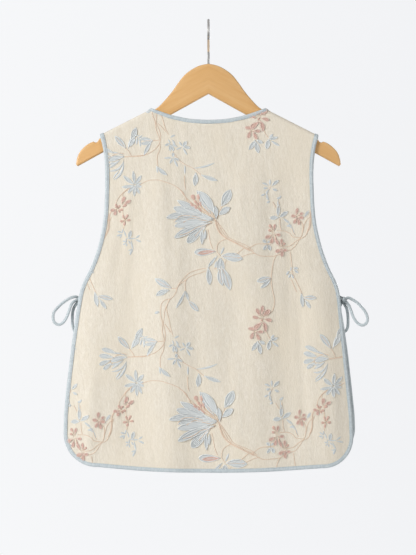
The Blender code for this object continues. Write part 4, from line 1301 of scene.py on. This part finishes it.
def satinTop(spots):
    # height of the largest flower's satin under each place of a stem, smoothed along it
    tops = np.full(len(spots), threadSizes["low"])
    for petal, layer in layers.items():
        middle, _, half = petalFrame(petal, np.linspace(0, 1, 41))
        apart = np.linalg.norm(spots[:, None] - middle[None], axis=2)
        over = apart.min(axis=1) < half[apart.argmin(axis=1)]
        tops = np.where(over, np.maximum(tops, satin["fill"] + layer + threadSizes["above"]), tops)
    return np.convolve(np.pad(tops, 1, mode="edge"), np.full(3, 1 / 3), "valid")


def vineThreads(numbers, paired=False, onPetals=False):
    points = np.array(numbers, float).reshape(-1, 2)
    line = smoothLine(points * chart["square"], threadSizes["step"])
    aside = leftOf(np.gradient(line, axis=0))
    along = lengthsAlong(line)
    share = along / along[-1]
    wander = stems["wander"] * np.sin(along / stems["wanderWave"] + points[0][0])
    swing = np.abs(np.sin(along / stems["pairWave"] + points[0][1]))
    pairGap = stems["closest"] + (1 - stems["closest"]) * swing
    threads = []
    for strand in ((-1, 1) if paired else (0,)):
        apart = strand * threadSizes["vineGap"] * pairGap
        ends = np.minimum(1, stems["endRate"] * np.minimum(share, 1 - share) + stems["endLeast"])
        flat = line + aside * (apart * ends + wander)[:, None]
        height = satinTop(flat) if onPetals else threadSizes["low"]
        threads.append((atHeight(flat, height), threadSizes["vine"], False))
    if paired:
        for spot in range(2, len(line) - 2, 2):
            cross = np.stack([line[spot] - aside[spot], line[spot + 1] + aside[spot + 1]])
            cross = atHeight(cross, stems["crossHeight"])
            threads.append((cross, threadSizes["vein"] * stems["crossSize"], False))
    return threads


def petalsMesh(name, petals, lift=0):
    # painted shade: 1 in the gaps beside cords and along grooves, 0 on top of the fill
    bm = bmesh.new()
    uv = bm.loops.layers.uv.new("stitch")
    shadeLayer = bm.verts.layers.float.new("shade")
    for petal in petals:
        look = petal[6]
        made = bmesh.ops.create_grid(bm, x_segments=satin["across"], y_segments=satin["along"], size=1)["verts"]
        t = np.array([(vert.co.y + 1) / 2 for vert in made])
        widest = petal[4] * chart["square"] / 2
        corded = look not in cordless
        cord = satin["plainCord"]
        if corded:
            cord = max(satin["leastCord"], 1 - satin["cordRoom"] * cordSize(petal) / widest)
        fill = max(satin["leastFill"] * cord, cord - satin["gap"] / widest)
        columns = np.array([0, fill / 2, fill, (cord + fill) / 2, cord, 1])
        s = np.interp([-vert.co.x for vert in made], np.linspace(-1, 1, 11),
                      np.concatenate([-columns[:0:-1], columns]))
        middle, aside, half = petalFrame(petal, t)
        spots = middle + aside * (half * s)[:, None]
        top = min(satin["fill" if corded else "plain"], satin["steepest"] * widest + 0.1)
        along = np.sin(math.pi * np.clip(t, *satin["ends"])) ** satin["endPower"]
        shade = np.clip((np.abs(s) - fill) / (cord - fill), 0, 1) * (1 if corded else satin["plainShade"])
        rise = top * (1 - s ** 2 * satin["crown"]) * along * (1 - satin["shadeDrop"] * shade)
        if look in ("looped", "hoop", "grooved"):
            groove = np.exp(-(s * widest / satin["grooveWidth"]) ** 2) * np.sin(math.pi * t) ** 0.5
            rise = rise * (1 - satin["grooveDrop"] * groove)
            shade = np.maximum(shade, satin["grooveShade"] * groove)
        if look == "ribbed":
            shade = np.full(len(s), satin["ribShade"])
        shade = shade * min(1, widest / satin["slimFrom"]) ** satin["slimPower"]
        rise = np.where(np.abs(s) > 0.99, satin["sunk"], rise + lift + layers.get(petal, 0))
        length = math.dist(petal[:2], petal[2:4]) * chart["square"]
        facts = {}
        for vert, spot, height, dark, a, b in zip(made, spots, rise, shade, half * s, t * length):
            vert.co = (*spot, height)
            vert[shadeLayer] = dark
            facts[vert] = ((a + satin["lean"] * b) * mm, b * mm)
        for face in {face for vert in made for face in vert.link_faces}:
            for loop in face.loops:
                loop[uv].uv = facts[loop.vert]
    return bakeMesh(name, bm)


def insideOutline(outline, points):
    # for each point, whether it lies inside the closed outline
    start = outline[::2]
    end = np.roll(start, -1, axis=0)
    result = np.zeros(len(points), bool)
    within = ((points > start.min(0)) & (points < start.max(0))).all(1)
    rise = end[:, 1] - start[:, 1]
    slope = (end[:, 0] - start[:, 0]) / np.where(np.abs(rise) < 1e-9, 1e-9, rise)
    for part in np.array_split(np.flatnonzero(within), max(1, within.sum() // 4000)):
        x, y = points[part, 0:1], points[part, 1:2]
        crosses = (start[:, 1] > y) != (end[:, 1] > y)
        result[part] = (crosses & (start[:, 0] + (y - start[:, 1]) * slope > x)).sum(1) % 2 == 1
    return result


def drifted(side, spots):
    # pattern coordinates of flat places, moved where the repeat lies off square
    spots = spots * (-side, 1)
    moved = spots.copy()
    for spotX, spotB, spreadX, spreadB, *shift in drifts[side]:
        share = np.exp(-((spots[:, 0] - spotX) / spreadX) ** 2 - ((spots[:, 1] - spotB) / spreadB) ** 2)
        moved += share[:, None] * shift
    return moved


def layPattern(name, flatUnit, side, outlines, finish):
    # repeats of one flat mesh, cut to the panels' outlines and laid on the cloth
    points = getValues(flatUnit.vertices, "co", 3).astype(float)
    corners = getValues(flatUnit.loops, "vertex_index", kind=np.int32)
    sizes = getValues(flatUnit.polygons, "loop_total", kind=np.int32)
    centres = np.add.reduceat(points[corners, :2], np.cumsum(sizes) - sizes) / sizes[:, None]
    across, down = (np.array(chart[key]) for key in ("across", "down"))
    parts, count = [], 0
    for column, row in np.ndindex(3, 3):
        shift = chart["middle"][side] + (column - 1) * across + (row - 1) * down
        spots = drifted(side, centres + shift)
        keep = np.any([insideOutline(outline, spots) for outline in outlines], axis=0)
        if not keep.any():
            continue
        loops = np.repeat(keep, sizes)
        used = np.unique(corners[loops])
        renumber = np.zeros(len(points), np.int32)
        renumber[used] = np.arange(len(used)) + count
        parts.append((points[used] + (*shift, 0), renumber[corners[loops]], sizes[keep], used,
                      np.flatnonzero(loops)))
        count += len(used)
    flat, corners, sizes, used, loops = (np.concatenate(part) for part in zip(*parts))
    x, b = drifted(side, flat[:, :2]).T
    surface = clothPoints(side, x, b) + clothNormals(side, x, b) * (cloth["wall"] / 2 + flat[:, 2])[:, None]
    mesh = bpy.data.meshes.new(name)
    mesh.vertices.add(len(surface))
    mesh.loops.add(len(corners))
    mesh.polygons.add(len(sizes))
    setValues(mesh.vertices, "co", surface * mm)
    setValues(mesh.loops, "vertex_index", corners, np.int32)
    setValues(mesh.polygons, "loop_start", np.cumsum(sizes) - sizes, np.int32)
    mesh.update(calc_edges=True)
    if "shade" in flatUnit.attributes:
        shade = getValues(flatUnit.attributes["shade"].data, "value")
        uvs = getValues(flatUnit.uv_layers["stitch"].data, "uv", 2)
        setValues(mesh.attributes.new("shade", "FLOAT", "POINT").data, "value", shade[used])
        setValues(mesh.uv_layers.new(name="stitch").data, "uv", uvs[loops])
    mesh.validate()
    addPiece(name, mesh, finish)
    print("  ", name, len(mesh.polygons), "faces")


def embroider():
    # the names of the pieces sewn on each side
    over = threadSizes["over"]
    blueCords = [thread for petal in blueLeaves for thread in outlineThreads(petal)]
    roseCords = [(line + (0, 0, over), size, closed) for petal in rosePetals
                 for line, size, closed in outlineThreads(petal)]
    peach = [veinThread(petal) for petal in blueLeaves if petal[6] == "veined"]
    for row, numbers in enumerate(vines):
        peach += vineThreads(numbers, paired=row == pairedVine)
    for numbers in petalLines:
        peach += vineThreads(numbers, onPetals=True)
    for heart in roseHearts:
        peach += heartThreads(heart)
    units = {
        "satin_blue": petalsMesh("blueUnit", blueLeaves),
        "satin_rose": petalsMesh("roseUnit", rosePetals, over),
        "cord_blue": threadsMesh("edgeUnit", blueCords),
        "cord_rose": threadsMesh("roseEdgeUnit", roseCords),
        "cord_peach": threadsMesh("vineUnit", peach),
    }
    back, neck, left, right = (inset(edge, chart["reach"]) for edge in edges.values())
    backOutline = np.concatenate([back, neck])
    names = {-1: [], 1: []}
    for key, flatUnit in units.items():
        finish = threadMaterial(key)
        for side, label, outlines in ((-1, "back", [backOutline]), (1, "front", [left, right])):
            layPattern(f"{label}_{key}", flatUnit, side, outlines, finish)
            names[side].append(f"{label}_{key}")
        bpy.data.meshes.remove(flatUnit)
    return names


sewnOn = embroider()
print("embroidery laid")

creamFinish = creamCloth()
makePanel("back_cloth", "back_panel", -1, backGrid(), creamFinish)
makePanel("front_cloth_left", "front_panel_left", 1, frontGrid(-1), creamFinish)
makePanel("front_cloth_right", "front_panel_right", 1, frontGrid(1), creamFinish)
print("panels hung")


# Hanger: two mirrored halves of beech, cut from one outline

hanger = {
    "halfThickness": 6.0, "rounding": 2.8, "roundingSteps": 4, "boreRadius": 2.4, "boreFoot": -99.0,
    "boreTop": -60.0, "boreSides": 32, "step": 3.0, "sharpAngle": 40,
}
hangerCrest = [
    (0, -70.7), (12, -72.8), (24.5, -78.2), (38.6, -88.3), (49.5, -101.5), (60.5, -117.0),
    (72.6, -131.5), (83.5, -142.6), (93.0, -148.6),
]
hangerNotch = [(180.5, -194.6), (184.5, -200.6), (187.4, -201.2)]
hangerEnd = [
    (190.5, -199.6), (198.0, -202.8), (206.6, -209.3), (213.4, -217.0), (217.6, -226.5), (219.6, -237.5),
]
hangerTip = (217.0, -240.4)
hangerApex = (0, -120.4)
woodLook = {
    "shader": {"Roughness": 0.45, "Coat Weight": 0.12, "Coat Roughness": 0.35},
    "armAngle": 27,
    "base": (0.72, 0.40, 0.145),
    "rows": [
        (0, (120.0, 9.0, 0.6), (0.3, 0.7, (0.80, 0.50, 0.225)), None),
        (0, (1400.0, 70.0, 0.6), (0.60, 0.85, (0.60, 0.36, 0.16)), (0.3, 0.08)),
    ],
}


def beech():
    # grain that follows both arms
    made, tree, shader = newMaterial("beech", woodLook["shader"])
    parts = splitUp(tree, place(tree))
    spot = addNode(tree, "CombineXYZ", {0: mathNode(tree, "ABSOLUTE", parts[0]), 1: parts[1], 2: parts[2]})
    for turn in ((0, math.radians(-woodLook["armAngle"]), 0), (0, 0, math.pi / 2)):
        spot = addNode(tree, "Mapping", {"Vector": spot.outputs[0], "Rotation": turn})
    dress(tree, shader, *texture(tree, spot.outputs, woodLook["base"], woodLook["rows"]))
    return made


def boreDrill():
    foot, top, radius = (hanger[key] * mm for key in ("boreFoot", "boreTop", "boreRadius"))
    return addObject("drill", primitive(
        "drill", bmesh.ops.create_cone, cap_ends=True, segments=hanger["boreSides"],
        radius1=radius, radius2=radius, depth=top - foot,
        matrix=Matrix.Translation((0, 0, (foot + top) / 2)),
    ))


def makeHanger():
    step = hanger["step"]
    right = joinLines([smoothLine(hangerCrest, step), np.array([hangerCrest[-1], hangerNotch[0]], float)])
    right = np.concatenate([right, hangerNotch[1:], smoothLine(hangerEnd, step), [hangerTip]])
    outline = np.concatenate([right, [hangerApex], right[1:][::-1] * (-1, 1)])
    bm = bmesh.new()
    face = bm.faces.new([bm.verts.new((x, -hanger["halfThickness"], z)) for x, z in outline])
    grown = bmesh.ops.extrude_face_region(bm, geom=[face])["geom"]
    moved = [item for item in grown if isinstance(item, bmesh.types.BMVert)]
    bmesh.ops.translate(bm, verts=moved, vec=(0, 2 * hanger["halfThickness"], 0))
    bmesh.ops.recalc_face_normals(bm, faces=bm.faces)
    rims = [edge for edge in bm.edges if abs(edge.verts[0].co.y - edge.verts[1].co.y) < 0.01]
    bmesh.ops.bevel(bm, geom=rims, offset=hanger["rounding"], offset_type="OFFSET",
                    segments=hanger["roundingSteps"], profile=0.5, affect="EDGES", material=-1,
                    clamp_overlap=True)
    bmesh.ops.scale(bm, vec=(mm, mm, mm), verts=bm.verts)
    made = addPiece("beech_hanger", bakeMesh("beech_hanger", bm), beech())
    bore = made.modifiers.new("bore", "BOOLEAN")
    bore.object = boreDrill()
    bore.solver = "EXACT"
    bpy.context.view_layer.update()
    drilled = bpy.data.meshes.new_from_object(made.evaluated_get(bpy.context.evaluated_depsgraph_get()))
    bpy.data.objects.remove(bore.object)
    made.modifiers.clear()
    made.data = drilled
    drilled.shade_smooth()
    drilled.set_sharp_from_angle(angle=math.radians(hanger["sharpAngle"]))
    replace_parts(made, "hanger_body")


# Hook: one bent wire whose stem turns in the bore

hook = {
    "wire": 1.9, "radius": 20.0, "frontAngle": -32, "backAngle": 236, "angleStep": 14, "stemFoot": -97.5,
    "step": 1.5, "sides": 16, "bluntness": 0.06,
}
hookNeck = [(6.2, -41.6), (2.4, -46.6), (0.5, -51.8), (0, -57.5), (0, -64)]


steelLook = {
    "shader": {"Roughness": 0.5, "Metallic": 0.75},
    "base": (0.38, 0.375, 0.365),
    "rows": [(0, (700.0, 700.0, 0.6), (0.35, 0.7, (0.31, 0.305, 0.30)), (0.05, 0.03))],
    "warm": (0.74, 0.575, 0.405), "highlight": (0.54, 0.53, 0.515),
    # heights in metres where the warm band starts and ends, and where the painted highlight on the upper bend
    # starts
    "warmFoot": (-0.0515, -0.0495), "warmTop": (-0.0265, -0.0295), "highlightFoot": (-0.023, -0.017),
}


def steel():
    made, tree, shader = newMaterial("plated_steel", steelLook["shader"])
    spot = place(tree)
    colour, heights = texture(tree, [spot], steelLook["base"], steelLook["rows"])
    height = splitUp(tree, spot)[2]
    low, high, above = (stretch(tree, height, *steelLook[key])
                        for key in ("warmFoot", "warmTop", "highlightFoot"))
    banded = mixColours(tree, mathNode(tree, "MULTIPLY", low, high), colour, steelLook["warm"])
    # painted highlight: the upper bend lighter than the stem
    dress(tree, shader, mixColours(tree, above, banded, steelLook["highlight"]), heights)
    return made


def makeHook():
    radius, wire = hook["radius"], hook["wire"]
    points = [(0, -radius * math.cos(a), wire - radius + radius * math.sin(a))
              for a in np.radians(np.arange(hook["frontAngle"], hook["backAngle"], hook["angleStep"]))]
    points += [(0, y, height) for y, height in hookNeck] + [(0, 0, hook["stemFoot"])]
    line = smoothLine(points, hook["step"])
    across = np.array([1.0, 0, 0])
    through = np.cross(unit(np.gradient(line, axis=0)), across)
    tip = np.sqrt(np.clip(1 - (1 - np.minimum(lengthsAlong(line) / wire, 1)) ** 2, hook["bluntness"], 1))
    angles = np.linspace(0, math.tau, hook["sides"], endpoint=False)[None, :, None]
    rings = line[:, None] + wire * tip[:, None, None] * (across * np.cos(angles)
                                                         + through[:, None] * np.sin(angles))
    made = addPiece("steel_hook", sweptMesh("steel_hook", rings), steel(), body="hook")
    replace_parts(made, "hanger_hook")


makeHanger()
makeHook()
print("hanger and hook made")


# Floor, light and background

studio = {
    "floorHeight": -1350, "floorRadius": 1250, "ambient": 0.24,
    "floor": {"Roughness": 0.9, "Base Color": (0.86, 0.86, 0.86, 1)},
    "backdropLeft": (0.932, 0.940, 0.955), "backdropRight": (0.880, 0.888, 0.908),
    "backdropSpan": (-0.16, 0.16),
}
lamps = [  # name, place, aim, size, power
    ("key", (-2450, -1800, 500), (0, 0, -420), 1100, 85),
    ("fill", (2300, -2000, 100), (0, 0, -420), 1800, 25),
    ("rearKey", (1250, 2700, -100), (0, 0, -420), 1100, 54),
    ("rearFill", (-1200, 2700, -300), (0, 0, -420), 1800, 14),
    ("top", (700, 300, 1900), (0, 0, -150), 900, 5.5),
]


def makeFloor():
    level = Matrix.Translation((0, 0, studio["floorHeight"] * mm))
    floor = addObject("floor", primitive("floor", bmesh.ops.create_circle, cap_ends=True, segments=96,
                                         radius=studio["floorRadius"] * mm, matrix=level))
    floor.data.materials.append(newMaterial("pale_floor", studio["floor"])[0])


def makeLamps():
    for name, spot, aim, size, power in lamps:
        data = bpy.data.lights.new(name, "AREA")
        data.shape = "DISK"
        data.size = size * mm
        data.energy = power
        lamp = addObject(name, data)
        lamp.location = Vector(spot) * mm
        lamp.rotation_euler = (Vector(aim) - Vector(spot)).to_track_quat("-Z", "Y").to_euler()


def makeBackdrop():
    # the camera sees a pale sweep from left to right, the piece an even light
    world = bpy.data.worlds.new("studio")
    bpy.context.scene.world = world
    world.use_nodes = True
    tree = world.node_tree
    tree.nodes.clear()
    across = splitUp(tree, addNode(tree, "TexCoord").outputs["Generated"])[0]
    colour = mixColours(tree, stretch(tree, across, *studio["backdropSpan"]), studio["backdropLeft"],
                        studio["backdropRight"])
    seen = addNode(tree, "Background", {"Strength": 1.0, "Color": colour})
    around = addNode(tree, "Background", {"Strength": studio["ambient"], "Color": (1, 1, 1, 1)})
    ray = addNode(tree, "LightPath").outputs["Is Camera Ray"]
    mixed = addNode(tree, "MixShader", {0: ray, 1: around.outputs[0], 2: seen.outputs[0]})
    addNode(tree, "OutputWorld", {"Surface": mixed.outputs[0]})


makeFloor()
makeLamps()
makeBackdrop()
bpy.context.scene.view_settings.view_transform = "Standard"
print("studio lit")
